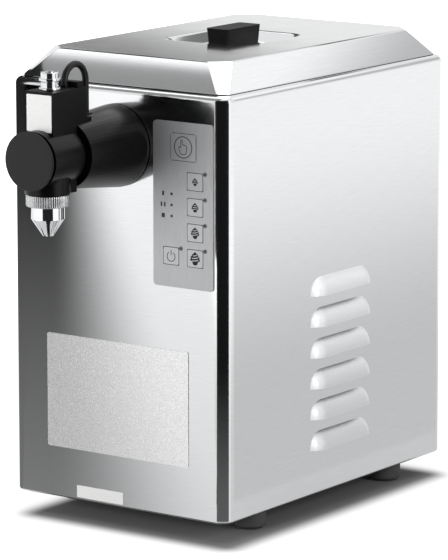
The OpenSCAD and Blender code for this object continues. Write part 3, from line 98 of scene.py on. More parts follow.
def linear(code: str) -> tuple[float, float, float, float]:
    """Turns a written colour into scene light values by the sRGB curve.

    Args:
        code: sRGB colour as six hexadecimal digits.

    Returns:
        Linear red, green, blue and an alpha of one.
    """
    part = np.array([int(code[i:i + 2], 16) / 255 for i in (0, 2, 4)])
    light = np.where(part <= 0.04045, part / 12.92, ((part + 0.055) / 1.055) ** 2.4)
    return (*light.tolist(), 1.0)


def add_node(tree: Tree, kind: str, *feeds: object, named: Optional[dict] = None, **settings: object) -> Node:
    """Adds one node to a tree.

    Args:
        tree: Node tree of a material or the world.
        kind: Node type without the ShaderNode prefix.
        feeds: Sockets and plain values for its inputs, in their order.
        named: The same for inputs that are called by name or number.
        settings: Properties of the node itself.

    Returns:
        The new node.
    """
    node = tree.nodes.new("ShaderNode" + kind)
    for key, value in settings.items():
        setattr(node, key, value)
    for key, feed in (*enumerate(feeds), *(named or {}).items()):
        if isinstance(feed, Socket):
            tree.links.new(feed, node.inputs[key])
        else:
            node.inputs[key].default_value = feed
    return node


@dataclass(frozen=True)
class Finish:
    """Finish of one real material.

    Attributes:
        name: Name of the material.
        tone: Main colour in sRGB digits.
        mate: Second colour that the grain mixes in.
        grain: Kind of grain.
        size: Grain size along X, Y and Z in millimetres.
        rough: Roughness between the grain's low and high parts.
        metallic: One for bare metal.
        bump: Height of the grain in millimetres, or the tilt of a sparkle's cells.
        gloss: Strength of the gloss on plastics, 0.5 for the usual one.
        pressed: Distance from the middle plane in millimetres where stretched metal begins and where it is
            fully dull, and how much roughness it adds.
    """

    name: str
    tone: str
    mate: str
    grain: Grain
    size: Triple
    rough: Pair
    metallic: float = 0.0
    bump: float = 0.0
    gloss: float = 0.5
    pressed: Triple = (0, 0, 0)

    def material(self) -> bpy.types.Material:
        """Makes the material once, or finds the one made before.

        Returns:
            The node material.
        """
        found = bpy.data.materials.get(self.name)
        if found:
            return found
        made = bpy.data.materials.new(self.name)
        made.use_nodes = True
        tree = made.node_tree
        shader = tree.nodes["Principled BSDF"]
        shader.inputs["Metallic"].default_value = self.metallic
        shader.inputs["Specular IOR Level"].default_value = self.gloss
        where = add_node(tree, "TexCoord")
        fit = add_node(tree, "Mapping", where.outputs["Object"],
                       named={"Scale": tuple(1 / (s * MM) for s in self.size)})
        if self.grain is Grain.SPARKLE:
            self._sparkle(tree, shader, fit)
        else:
            self._noise(tree, shader, fit)
        return made

    def _two_tones(self, tree: Tree, shader: Node, share: Socket) -> None:
        """Colours the surface by a mix of both tones.

        Args:
            tree: Tree of the material.
            shader: Its surface shader.
            share: Share of the second tone.
        """
        mix = add_node(tree, "Mix", share, named={MIX_A: linear(self.tone), MIX_B: linear(self.mate)},
                       data_type="RGBA")
        tree.links.new(mix.outputs[MIX_OUT], shader.inputs["Base Color"])

    def _noise(self, tree: Tree, shader: Node, fit: Node) -> None:
        """Mixes two tones, roughness and a fine bump by one cloud of noise.

        Args:
            tree: Tree of the material.
            shader: Its surface shader.
            fit: Mapping node in grain sizes.
        """
        noise = add_node(tree, "TexNoise", named={"Vector": fit.outputs[0], "Scale": 1.0,
                                                  "Detail": NOISE_DETAIL[self.grain]})
        spread = add_node(tree, "MapRange", noise.outputs[0], *NOISE_SPAN)
        self._two_tones(tree, shader, spread.outputs[0])
        rough = add_node(tree, "MapRange", noise.outputs[0], *NOISE_SPAN, *self.rough)
        start, end, added = self.pressed
        if added:
            side = add_node(tree, "SeparateXYZ", add_node(tree, "TexCoord").outputs["Object"])
            out = add_node(tree, "Math", side.outputs["X"], operation="ABSOLUTE")
            dull = add_node(tree, "MapRange", out.outputs[0], start * MM, end * MM, 0.0, added)
            rough = add_node(tree, "Math", rough.outputs[0], dull.outputs[0], operation="ADD")
        tree.links.new(rough.outputs[0], shader.inputs["Roughness"])
        if self.bump:
            bump = add_node(tree, "Bump", named={"Height": noise.outputs[0], "Strength": 1.0,
                                                 "Distance": self.bump * MM})
            tree.links.new(bump.outputs[0], shader.inputs["Normal"])

    def _sparkle(self, tree: Tree, shader: Node, fit: Node) -> None:
        """Gives each small cell of a foil its own tone and its own tilt.

        Args:
            tree: Tree of the material.
            shader: Its surface shader.
            fit: Mapping node in cell sizes.
        """
        cell = add_node(tree, "TexVoronoi", named={"Vector": fit.outputs[0], "Scale": 1.0})
        split = add_node(tree, "SeparateColor", cell.outputs["Color"])
        self._two_tones(tree, shader, split.outputs[0])
        rough = add_node(tree, "MapRange", split.outputs[1], 0.0, 1.0, *self.rough)
        here = add_node(tree, "NewGeometry")
        offset = add_node(tree, "VectorMath", cell.outputs["Color"], CELL_MIDDLE, operation="SUBTRACT")
        tilt = add_node(tree, "VectorMath", offset.outputs[0], even(self.bump), here.outputs["Normal"],
                        operation="MULTIPLY_ADD")
        unit = add_node(tree, "VectorMath", tilt.outputs[0], operation="NORMALIZE")
        tree.links.new(rough.outputs[0], shader.inputs["Roughness"])
        tree.links.new(unit.outputs[0], shader.inputs["Normal"])


def even(size: float) -> Triple:
    """Gives one size along all three axes."""
    return size, size, size


# Bright-rolled stainless sheet: mirrors softly, brush lines hardly show; duller on the pressed louvres
SHEET = Finish("bright_stainless", "e4e5e6", "dedfe0", Grain.BRUSHED, (24, 24, 0.5), (0.09, 0.12), 1.0,
               pressed=(121.5, 121.7, 0.3))
# Plain rolled steel inside the casing: a dull grey shine with coarse level lines
INNER = Finish("plain_steel", "b2b4b6", "9ea0a2", Grain.BRUSHED, (9, 9, 1.5), (0.3, 0.4), 1.0, 0.002)
# Moulded black rubber of seals, gaskets and the lead: deep black with a faint, broken shine
RUBBER = Finish("black_rubber", "0c0c0c", "121212", Grain.MOULDED, even(0.9), (0.36, 0.5), 0.0, 0.01, 0.3)
# Moulded grey-black rubber of the feet: matt, with no clear highlight
FOOT = Finish("foot_rubber", "4a4a4b", "545455", Grain.MOULDED, even(1.2), (0.6, 0.72), 0.0, 0.03, 0.3)
# Moulded food-grade plastic of the arm: black with half-gloss streaks
ARM = Finish("arm_plastic", "08080a", "0d0d0e", Grain.MOULDED, even(0.7), (0.27, 0.33), 0.0, 0.005, 0.18)
# Moulded plastic of the end cap: a flat, matt dark grey
CAP = Finish("cap_plastic", "262627", "2c2c2d", Grain.MOULDED, even(0.6), (0.5, 0.6), 0.0, 0.01, 0.2)
# Moulded plastic of the coil and its terminal box: black with a weak, wide shine
COIL = Finish("coil_plastic", "09090a", "0e0e0f", Grain.MOULDED, even(0.8), (0.4, 0.5), 0.0, 0.008, 0.15)
# Moulded plastic of the handle, inlet and fan: black with hardly any shine
BLACK = Finish("black_plastic", "080809", "0c0c0d", Grain.MOULDED, even(0.8), (0.4, 0.5), 0.0, 0.01, 0.1)
# Bare printing film: an even white with a slight shine
FILM = Finish("white_film", "fafaf9", "f3f3f2", Grain.MOULDED, even(1.5), (0.35, 0.45), 0.0, 0.001)
# Polished chrome plate: a clear mirror
CHROME = Finish("polished_chrome", "e6e7e8", "dedfe1", Grain.MOULDED, even(6), (0.05, 0.09), 1.0)
# Turned and knurled steel: fine rings that spread the shine
TURNED = Finish("turned_steel", "cbccce", "b4b5b7", Grain.BRUSHED, (3, 3, 0.3), (0.25, 0.33), 1.0, 0.003)
# Metallic foil of the keypad, brushed upright: grey with a silky sheen
FOIL = Finish("keypad_foil", "bcbdbf", "b3b4b6", Grain.BRUSHED, (0.5, 0.5, 8), (0.34, 0.4), 0.45, 0.0, 0.3)
# Same foil over the keys: a touch lighter and smoother
KEY = Finish("key_foil", "c1c2c4", "b9babc", Grain.BRUSHED, (0.5, 0.5, 8), (0.32, 0.38), 0.45, 0.0, 0.3)
# Screen-printed ink: matt, nearly black
INK = Finish("print_ink", "1c1c1d", "262627", Grain.MOULDED, even(0.4), (0.45, 0.6), 0.0, 0.0, 0.3)
# Moulded lenses of unlit lamps: dark with a small highlight
LENS = Finish("lamp_lens", "3a3a3b", "454546", Grain.MOULDED, even(0.5), (0.12, 0.2))
# Embossed foil of the front plate: white with grey glints; its cells are as coarse as they need to show
SPARK = Finish("grainy_foil", "ffffff", "e6e6e7", Grain.SPARKLE, even(0.9), (0.25, 0.45), 0.5, 0.3)
# Machined food-grade plastic: white, half matt
FOOD = Finish("food_plastic", "eae8e2", "e0ded8", Grain.MOULDED, even(2), (0.35, 0.45), 0.0, 0.005)
# Foamed insulation: pale yellow, rough and pitted
FOAM = Finish("foam", "e6dcb8", "d6caa2", Grain.MOULDED, even(1.6), (0.8, 0.95), 0.0, 0.15)
# Rolled or cast aluminium: a pale, cloudy shine
ALU = Finish("aluminium", "c6c8ca", "b5b7b9", Grain.MOULDED, even(1.4), (0.32, 0.42), 1.0, 0.006)
# Lacquer of the circuit board: a glossy green
BOARD = Finish("board_lacquer", "1f5a33", "194a2a", Grain.MOULDED, even(2.5), (0.3, 0.45))
# Paint of the motor shells: mid grey, slightly grainy
MOTOR = Finish("motor_paint", "4b4d50", "424446", Grain.MOULDED, even(0.9), (0.35, 0.45), 0.0, 0.02)
# Paint of the compressor pot: a glossy black
POT = Finish("pot_paint", "151516", "1b1b1c", Grain.MOULDED, even(1.4), (0.2, 0.3), 0.0, 0.02)
# Drawn copper pipe: a warm, cloudy shine
COPPER = Finish("copper", "c47c52", "a9623c", Grain.MOULDED, even(7), (0.22, 0.34), 1.0)

# Kept solids by finish, each with the rounding of its edges in millimetres
NODE_FINISH: dict[Finish, dict[str, float]] = {
    SHEET: {"casing": 0.0, "rear_panel": 0.0, "deck_tray": 0.0, "cream_tank": 0.0},
    INNER: {"base_plate": 0.0, "well_liner": 0.0, "motor_bracket": 0.0, "fan_bracket": 0.0},
    FOOT: {"feet": 0.6},
    TURNED: {"rear_panel_screws": 0.4, "lid_handle_screws": 0.2, "arm_bolts": 0.3, "core_tube": 0.0,
             "armature": 0.2, "motor_pulley": 0.3, "suction_tube": 0.0},
    BLACK: {"power_inlet": 0.4, "lid_handle": 1.2, "fan_blade": 0.2},
    ALU: {"evaporator": 0.0, "pump_housing": 0.4, "pump_cover": 0.4, "pump_pulley": 0.3,
          "condenser": 0.0},
    FOAM: {"insulation": 0.0},
    RUBBER: {"lid_gasket": 0.0, "arm_gasket": 0.0, "end_cap_seal": 0.0, "valve_pad": 0.2,
             "lead_grommet": 0.4, "nozzle_seal": 0.0, "drive_belt": 0.0},
    ARM: {"arm_housing": 0.5},
    FOOD: {"whip_core": 0.2, "pump_rotor": 0.2},
    COIL: {"solenoid_coil": 1.0, "coil_connector": 0.6},
    FILM: {"coil_label": 0.0, "sticker_plate": 0.0},
    CHROME: {"star_nozzle": 0.0},
    FOIL: {"keypad": 0.1},
    KEY: {"key_manual": 0.0, "key_portion_1": 0.0, "key_portion_2": 0.0, "key_portion_3": 0.0,
          "key_portion_4": 0.0, "key_power": 0.0},
    LENS: {"status_lights": 0.1},
    SPARK: {"badge_plate": 0.0},
    BOARD: {"control_board": 0.0},
    MOTOR: {"drive_motor": 0.6, "fan_motor": 0.6},
    POT: {"compressor": 0.8},
    COPPER: {"refrigerant_lines": 0.0},
}


def lay_surface(name: str, grid: np.ndarray, around_u: bool = False, around_v: bool = True,
                caps: tuple[bool, bool] = (False, False), crease: float = 35.0) -> bpy.types.Object:
    """Lays a mesh over a grid of points, faces outwards.

    Each cell of the grid is a quad; a cap is a fan from the mean point of the first or last row. The sign
    of the enclosed volume, the sum of p0 . (p1 x p2) over all triangles, says whether faces are turned.

    Args:
        name: Name of the object.
        grid: Points as rows, columns, 3, in millimetres.
        around_u: Whether the last row joins the first.
        around_v: Whether the last column joins the first.
        caps: Whether the first and the last row are closed by a fan.
        crease: Angle in degrees over which an edge stays sharp.

    Returns:
        The new object at the origin.
    """
    rows, cols = grid.shape[:2]
    points = grid.reshape(-1, 3) * MM
    u = np.arange(rows if around_u else rows - 1)
    v = np.arange(cols if around_v else cols - 1)
    a, b = np.meshgrid(u, v, indexing="ij")
    c, d = (a + 1) % rows, (b + 1) % cols
    quads = np.stack([a * cols + b, a * cols + d, c * cols + d, c * cols + b], axis=-1).reshape(-1, 4)
    fans = []
    for wanted, row, turn in ((caps[0], 0, True), (caps[1], rows - 1, False)):
        if wanted:
            ring = row * cols + np.arange(cols)
            hub = np.full(cols, len(points))
            points = np.vstack([points, grid[row].mean(axis=0) * MM])
            fan = np.stack([hub, ring, np.roll(ring, -1)], axis=-1)
            fans.append(fan[:, ::-1] if turn else fan)
    tris = np.vstack([quads[:, :3], quads[:, [0, 2, 3]], *fans])
    p = points[tris] - points.mean(axis=0)
    outside = np.einsum("ij,ij->i", p[:, 0], np.cross(p[:, 1], p[:, 2])).sum() > 0
    faces = [f for part in (quads, *fans) for f in (part if outside else part[:, ::-1]).tolist()]
    mesh = bpy.data.meshes.new(name)
    mesh.from_pydata(points.tolist(), [], faces)
    mesh.shade_smooth()
    mesh.set_sharp_from_angle(angle=math.radians(crease))
    made = bpy.data.objects.new(name, mesh)
    bpy.context.scene.collection.objects.link(made)
    return made


def octagon_rings(rings: np.ndarray, steps: int = 5) -> np.ndarray:
    """Works out level outlines with cut and rounded corners.

    Each corner of the eight-sided outline is an arc: its centre lies one radius inwards of the edge that
    comes in, and the point at heading f is centre + radius * (sin f, -cos f). A cut of ROUND_SHARE times
    the radius gives a round corner.

    Args:
        rings: Rows of half width, half length, corner cut, corner radius, middle x, middle y and z.
        steps: Points on each arc.

    Returns:
        Points as rings, 8 * steps, 3.
    """
    hx, hy, cut, rho, mx, my, z = (rings[:, i, None] for i in range(7))
    sx = np.array([1, 1, 1, 1, -1, -1, -1, -1])
    sy = np.array([-1, -1, 1, 1, 1, 1, -1, -1])
    cut_x = np.array([1, 0, 0, 1, 1, 0, 0, 1])
    corner = np.stack([sx * (hx - cut * cut_x) + mx, sy * (hy - cut * (1 - cut_x)) + my], axis=-1)
    come = np.arange(8) * OCTANT
    ahead = np.stack([np.cos(come), np.sin(come)], axis=-1)
    inward = np.stack([-np.sin(come), np.cos(come)], axis=-1)
    centre = corner + rho[..., None] * (inward - math.tan(OCTANT / 2) * ahead)
    heading = come[:, None] + np.linspace(0, OCTANT, steps)
    arc = np.stack([np.sin(heading), -np.cos(heading)], axis=-1)
    flat = centre[:, :, None] + rho[..., None, None] * arc
    high = np.broadcast_to(z[..., None, None], (*flat.shape[:3], 1))
    return np.concatenate([flat, high], axis=-1).reshape(len(rings), -1, 3)


def turned(profile: Sequence[Pair], centre: Triple, axis: str, sides: int = 96) -> np.ndarray:
    """Carries a profile round an axis.

    A point (r, h) becomes centre + h along the axis + r * (cos a, sin a) square to it.

    Args:
        profile: Radius and height pairs in millimetres.
        centre: Foot of the axis.
        axis: "y" or "z".
        sides: Points round the axis.

    Returns:
        Points as profile, sides, 3.
    """
    r, h = np.array(profile, dtype=float).T[:, :, None]
    a = np.linspace(0, math.tau, sides, endpoint=False)
    one, two, along = r * np.cos(a), r * np.sin(a), h + 0 * a
    stack = (one, along, two) if axis == "y" else (one, two, along)
    return np.stack(stack, axis=-1) + np.array(centre)


def fillet(start: Sequence[float], corner: Sequence[float], end: Sequence[float],
           steps: int = 5) -> np.ndarray:
    """Rounds a corner by the curve (1-t)^2 start + 2t(1-t) corner + t^2 end.

    Args:
        start: Point or ring values before the corner.
        corner: Values at the corner.
        end: Values after it.
        steps: Points on the curve.

    Returns:
        The curve's rows.
    """
    t = np.linspace(0, 1, steps)[:, None]
    a, b, c = (np.array(x, dtype=float) for x in (start, corner, end))
    return (1 - t) ** 2 * a + 2 * t * (1 - t) * b + t ** 2 * c


def tube(path: np.ndarray, radius: float, sides: int = 20) -> np.ndarray:
    """Carries a circle along a path that lies in the plane x = 0.

    The circle stands square to the path's direction d, on the X axis and on d turned by a right angle.

    Args:
        path: Points in millimetres.
        radius: Radius of the tube.
        sides: Points round it.

    Returns:
        Points as path, sides, 3.
    """
    ahead = np.gradient(path, axis=0)
    ahead /= np.linalg.norm(ahead, axis=1, keepdims=True)
    side = np.array([1.0, 0.0, 0.0])
    up = np.cross(side, ahead)
    a = np.linspace(0, math.tau, sides, endpoint=False)[:, None]
    return path[:, None] + radius * (np.cos(a) * side + np.sin(a) * up[:, None])


def ribbon(path: np.ndarray, width: float, face: float, thick: float, closed: bool) -> np.ndarray:
    """Carries a flat bar along a drawn line on an upright front.

    Each point moves half the width to both sides along the line's normal, at the front and at the back face.

    Args:
        path: x and z pairs in millimetres.
        width: Width of the line.
        face: y of what carries it.
        thick: How far it stands out.
        closed: Whether the line is a loop.

    Returns:
        Points as path, 4, 3.
    """
    ahead = np.roll(path, -1, axis=0) - np.roll(path, 1, axis=0) if closed else np.gradient(path, axis=0)
    ahead = ahead / np.linalg.norm(ahead, axis=1, keepdims=True)
    off = np.stack([-ahead[:, 1], ahead[:, 0]], axis=-1) * width / 2
    left, right = path + off, path - off
    level = np.ones(len(path))
    corners = ((left, face), (left, face - thick), (right, face - thick), (right, face))
    return np.stack([np.stack([q[:, 0], level * y, q[:, 1]], axis=-1) for q, y in corners], axis=1)


def circle(radius: float, start: float = 0.0, turn: float = 360.0, points: int = 48) -> np.ndarray:
    """Gives points (r cos a, r sin a) from one angle over a turn, without the end point of a full circle."""
    a = np.radians(np.linspace(start, start + turn, points, endpoint=turn < 360))
    return radius * np.stack([np.cos(a), np.sin(a)], axis=-1)


def box_line(width: float, height: float, radius: float) -> np.ndarray:
    """Gives the outline of a rounded rectangle about the origin, arc by arc."""
    ring = octagon_rings(np.array([[width / 2, height / 2, ROUND_SHARE * radius, radius, 0, 0, 0]]))
    return ring[0, :, :2]


def place(piece: bpy.types.Object, finish: Finish, body: str,
          stands_for: Sequence[str] = ()) -> None:
    """Dresses a new piece, puts it on its body and logs it.

    Args:
        piece: The object.
        finish: Its finish.
        body: Body that it rides on.
        stands_for: Nodes that it replaces.
    """
    piece.data.materials.append(finish.material())
    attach(piece, body)
    if stands_for:
        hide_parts(*stands_for)
    log.info("piece %s on %s in %s", piece.name, body, finish.name)


def weigh(piece: bpy.types.Object) -> None:
    """Lets large flat faces set the shading of the edges beside them."""
    rule = piece.modifiers.new("flat_faces", "WEIGHTED_NORMAL")
    rule.keep_sharp = True


@dataclass
class SolidParts:
    """Solids that keep their shape and get their finish here."""

    finishes: dict[Finish, dict[str, float]] = field(default_factory=lambda: dict(NODE_FINISH))
    segments: int = 3
    sharp: float = 50.0

    def dress(self) -> None:
        """Gives each kept solid its finish and, where edges show, a small rounding."""
        kept = [(finish, *row) for finish, nodes in self.finishes.items() for row in nodes.items()]
        for finish, name, edge in kept:
            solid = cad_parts[name]
            for hold in solid.material_slots:
                hold.material = finish.material()
            if edge:
                soft = solid.modifiers.new("edge", "BEVEL")
                soft.width, soft.segments, soft.limit_method = edge * MM, self.segments, "ANGLE"
                soft.angle_limit = math.radians(self.sharp)
                soft.harden_normals = True
            log.info("solid %s in %s", name, finish.name)


@dataclass
class Lid:
    """Bevelled lid with a dish, and the skirt under it."""

    middle_y: float = 62.4
    half_w: float = 121.5
    half_d: float = 183.0
    edge: float = 5.0
    run_x: float = 16.5
    run_y: float = 20.0
    cut_rim: float = 8.0
    cut_top: float = 16.0
    corner_rim: float = 4.0
    corner_top: float = 1.5
    z_rim: float = 408.9
    z_top: float = 434.4
    sheet: float = 1.2
    hem_share: float = 0.04
    bend_share: float = 0.06
    slope_rows: int = 4
    fold: float = 2.2
    dish: Pair = (47.0, 53.5)
    dish_back: float = 1.0
    dish_r: float = 18.0
    dish_taper: float = 8.0
    dish_flat: float = 4.0
    dish_roll: float = 1.6
    dish_foot: float = 3.0
    dish_floor: Pair = (20.0, 44.0)
    least_r: float = 0.5
    z_dish: float = 422.4
    skirt_in: float = 17.2
    skirt_r: float = 5.6
    skirt_inner_r: float = 4.6
    flange_in: float = 6.7
    flange_r: float = 12.0
    z_skirt: float = 402.0
    sit: float = 0.6
    sit_x: Pair = (104.0, 114.0)

    def build(self) -> None:
        """Makes the shell and the skirt."""
        shell = lay_surface("lid_shell", self._shell_grid(), caps=(False, True))
        wall = shell.modifiers.new("sheet", "SOLIDIFY")
        wall.thickness, wall.offset = self.sheet * MM, -1
        weigh(shell)
        place(shell, SHEET, Body.LID.value, ["lid"])
        skirt = lay_surface("lid_skirt", octagon_rings(self._skirt_rows()), around_u=True)
        place(skirt, SHEET, Body.LID.value)

    def _shell_grid(self) -> np.ndarray:
        """Works out the shell from its hem up the slope, over the flat top and into the dish.

        The slope on the right sits a little closer to the casing: z falls by sit * (share of the slope
        below the top) * (share of the way to the right edge).

        Returns:
            Points as rings, columns, 3.
        """
        rim = np.array([self.half_w - self.edge, self.half_d - self.edge, self.cut_rim, self.corner_rim, 0,
                        self.middle_y, self.z_rim])
        top = rim + np.array([-self.run_x, -self.run_y, self.cut_top - self.cut_rim,
                              self.corner_top - self.corner_rim, 0, 0, self.z_top - self.z_rim])
        flat = top + self.fold * np.array([-1, -1, -ROUND_SHARE, 0, 0, 0, 0])
        low = rim + (top - rim) * np.linspace(self.hem_share, 1 - self.bend_share, self.slope_rows)[:, None]
        hem = fillet(rim - self.sheet * np.array([1, 1, 0, 0, 0, 0, 0]), rim, low[0], steps=4)
        slope = np.vstack([hem, low[1:], fillet(low[-1], top, flat, steps=9)[1:]])
        grid = octagon_rings(np.vstack([slope, self._dish_rows()]))
        x, z = grid[:len(slope), :, 0], grid[:len(slope), :, 2]
        low_share = np.clip((self.z_top - z) / (self.z_top - self.z_rim), 0, 1)
        right_share = np.clip((x - self.sit_x[0]) / (self.sit_x[1] - self.sit_x[0]), 0, 1)
        z -= self.sit * low_share * right_share
        return grid

    def _dish_rows(self) -> np.ndarray:
        """Gives the rings from the dish's rolled edge down its wall and over its floor to the middle.

        Returns:
            Ring rows as octagon_rings takes them.
        """
        def ring(grow: float, z: float) -> np.ndarray:
            """Gives one ring of the dish, grown outwards."""
            r = max(self.dish_r + grow, self.least_r)
            return np.array([self.dish[0] + grow, self.dish[1] + grow, ROUND_SHARE * r, r, 0,
                             self.middle_y + self.dish_back, z])

        roll, foot, taper = self.dish_roll, self.dish_foot, self.dish_taper
        lean = taper / (self.z_top - self.z_dish)
        rolled = fillet(ring(roll, self.z_top), ring(0, self.z_top), ring(-roll * lean, self.z_top - roll),
                        steps=6)
        curved = fillet(ring(foot * lean - taper, self.z_dish + foot), ring(-taper, self.z_dish),
                        ring(-taper - foot, self.z_dish), steps=6)
        floor = [ring(-inset, self.z_dish) for inset in self.dish_floor]
        return np.vstack([ring(self.dish_flat, self.z_top), rolled, curved, *floor])

    def _skirt_rows(self) -> np.ndarray:
        """Gives the closed section of the skirt and the flange over the seal.

        Returns:
            Ring rows as octagon_rings takes them.
        """
        def ring(inset: float, r: float, z: float) -> list[float]:
            """Gives one rounded ring at an inset from the casing."""
            return [self.half_w - inset, self.half_d - inset, ROUND_SHARE * r, r, 0, self.middle_y, z]

        outer, inner = self.skirt_in, self.skirt_in + self.sheet
        roof_z = self.z_rim + self.sheet
        return np.array([
            ring(outer, self.skirt_r, self.z_skirt), ring(outer, self.skirt_r, self.z_rim),
            ring(self.flange_in, self.flange_r, self.z_rim), ring(self.flange_in, self.flange_r, roof_z),
            ring(inner, self.skirt_inner_r, roof_z), ring(inner, self.skirt_inner_r, self.z_skirt)])


@dataclass
class Head:
    """Front of the arm: end cap, valve nuts and the lead."""

    y_tip: float = -248.6
    z_axis: float = 356.3
    cap_r: float = 26.6
    cap_t: float = 2.0
    cap_round: Pair = (0.7, 0.5)
    face_share: float = 0.6
    hub_r: float = 0.5
    plug_r: float = 18.4
    plug_to: float = 12.7
    plug_round: float = 1.0
    seal: Triple = (15.88, 6.79, 9.31)
    nut_r: float = 8.2
    collar_r: float = 9.7
    collar_h: float = 2.43
    nut_h: float = 7.6
    nut_gap: float = 0.8
    nut_bore: float = 4.2
    nut_round: Triple = (0.5, 0.6, 0.8)
    neck_in: float = 1.0
    y_valve: float = -217.6
    z_coil: float = 416.3
    lead_r: float = 3.0
    lead_bend: float = 15.5
    y_lead: float = -196.8
    z_lead: float = 408.3
    z_bend: float = 419.8
    z_lead_end: float = 379.47
    lead_steps: tuple[int, int, int] = (5, 21, 9)

    def build(self) -> None:
        """Makes the lead, the cap and the nuts."""
        self._lead()
        place(self._cap(), CAP, Body.CAP.value, ["end_cap"])
        place(self._nuts(), CHROME, Body.MACHINE.value, ["core_nut"])

    def _lead(self) -> None:
        """Makes the lead: up out of the terminal box, over in a half circle and down into the arm."""
        rise_steps, arch_steps, drop_steps = self.lead_steps
        a = np.linspace(math.pi, 0, arch_steps)
        arch = np.stack([self.y_lead + self.lead_bend * (1 + np.cos(a)),
                         self.z_bend + self.lead_bend * np.sin(a)], axis=-1)
        up = np.linspace(self.z_lead, self.z_bend, rise_steps)[:-1]
        down = np.linspace(self.z_bend, self.z_lead_end, drop_steps)[1:]
        rise = np.column_stack([np.full(len(up), self.y_lead), up])
        drop = np.column_stack([np.full(len(down), self.y_lead + 2 * self.lead_bend), down])
        line = np.vstack([rise, arch, drop])
        path = np.column_stack([np.zeros(len(line)), line])
        lead = lay_surface("valve_lead", tube(path, self.lead_r), caps=(True, True))
        place(lead, RUBBER, Body.MACHINE.value, ["coil_lead"])

    def _cap(self) -> bpy.types.Object:
        """Makes the end cap: a disc with a rolled edge and a plug with a groove for its seal.

        Returns:
            The cap.
        """
        r, t, plug, end = self.cap_r, self.cap_t, self.plug_r, self.plug_to
        front, back = self.cap_round
        seat_r, seat_from, seat_to = self.seal
        line = np.vstack([
            [(self.hub_r, 0), (r * self.face_share, 0)],
            fillet((r - front, 0), (r, 0), (r, front)),
            fillet((r, t - back), (r, t), (r - back, t)),
            [(plug, t), (plug, seat_from), (seat_r, seat_from), (seat_r, seat_to), (plug, seat_to)],
            fillet((plug, end - self.plug_round), (plug, end), (plug - self.plug_round, end)),
            [(self.hub_r, end)]])
        cap = lay_surface("cap_disc", turned(line, (0, self.y_tip, self.z_axis), "y"), caps=(True, True))
        weigh(cap)
        return cap

    def _nuts(self) -> bpy.types.Object:
        """Makes the two round nuts: each a profile of a wide collar and a narrower drum, one above the other.

        Returns:
            The nuts as one piece.
        """
        r, wide, step, top = self.nut_r, self.collar_r, self.collar_h, self.nut_h
        foot, shoulder, crown = self.nut_round
        nut = np.vstack([
            fillet((wide - foot, 0), (wide, 0), (wide, foot), steps=4),
            fillet((wide, step - shoulder), (wide, step), (wide - shoulder, step), steps=4), [(r, step)],
            fillet((r, top - crown), (r, top), (r - crown, top), steps=4)])
        neck, second = r - self.neck_in, top + self.nut_gap
        line = np.vstack([[(self.nut_bore, 0)], nut, [(neck, top), (neck, second)], nut + [0, second],
                          [(self.nut_bore, top + second)]])
        nuts = lay_surface("valve_nuts", turned(line, (0, self.y_valve, self.z_coil), "z"), around_u=True)
        weigh(nuts)
        return nuts


@dataclass
class ValveSpring:
    """Return spring of the valve, which the armature presses together."""

    node: str = "return_spring"
    wire_r: float = 0.45
    wire_sides: int = 12
    turns: int = 6
    turn_steps: int = 32
    lift: float = 5.0
    z_fixed: float = 411.1

    def build(self) -> None:
        """Winds the wire, sets it on the machine and gives it a mesh of its own.

        The middle line is (r cos a, r sin a, z) with z rising evenly, and the wire's circle stands on the
        radius and on the Z axis.
        """
        low, high = (np.array(p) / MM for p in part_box(self.node))
        mid, radius = (low + high) / 2, (high[0] - low[0]) / 2 - self.wire_r
        a = np.linspace(0, math.tau * self.turns, self.turns * self.turn_steps + 1)[:, None]
        b = np.linspace(0, math.tau, self.wire_sides, endpoint=False)
        rise = np.linspace(low[2] + self.wire_r, high[2] - self.wire_r, len(a))[:, None]
        out = radius + self.wire_r * np.cos(b)
        grid = np.stack([mid[0] + out * np.cos(a), mid[1] + out * np.sin(a),
                         rise + self.wire_r * np.sin(b)], axis=-1)
        spring = lay_surface("valve_spring", grid, caps=(True, True))
        place(spring, TURNED, Body.MACHINE.value, [self.node])
        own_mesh(spring)


@dataclass
class Outlet:
    """Ring nut under the head."""

    y_nozzle: float = -221.8
    z_axis: float = 356.3
    top: float = 31.8
    bottom: float = 42.8
    ring_r: float = 19.5
    bore_r: float = 17.06
    lip_r: float = 15.3
    lip: float = 1.6
    ribs: int = 60
    rib_deep: float = 0.45
    rib_steps: int = 6
    edge_in: float = 0.9
    round_in: float = 0.2
    round_at: float = 0.7
    round_rib_share: float = 0.2
    edge_to: float = 1.2
    crease: float = 50.0

    def build(self) -> None:
        """Makes the ring nut with its fine ribs.

        The radius is ring radius - depth * (0.5 - 0.5 cos(ribs * a)), and the ribs run out at both edges,
        which mirror each other.
        """
        a = np.linspace(0, math.tau, self.ribs * self.rib_steps, endpoint=False)
        groove = self.rib_deep * (0.5 - 0.5 * np.cos(self.ribs * a))
        high = self.bottom - self.top
        edge = np.array([(self.ring_r - self.edge_in, 0, 0),
                         (self.ring_r - self.round_in, self.round_at, self.round_rib_share),
                         (self.ring_r, self.edge_to, 1)])
        rows = np.vstack([[(self.bore_r, 0, 0)], edge, [(self.ring_r, high / 2, 1)],
                          edge[::-1] * [1, -1, 1] + [0, high, 0],
                          [(self.lip_r, high, 0), (self.lip_r, high - self.lip, 0),
                           (self.bore_r, high - self.lip, 0)]])
        r, down, deep = rows.T[:, :, None]
        out = r - deep * groove
        grid = np.stack([out * np.cos(a), out * np.sin(a) + self.y_nozzle,
                         self.z_axis - self.top - down + 0 * a], axis=-1)
        ring = lay_surface("ring_nut", grid, around_u=True, crease=self.crease)
        place(ring, TURNED, Body.RING.value, ["nozzle_ring"])


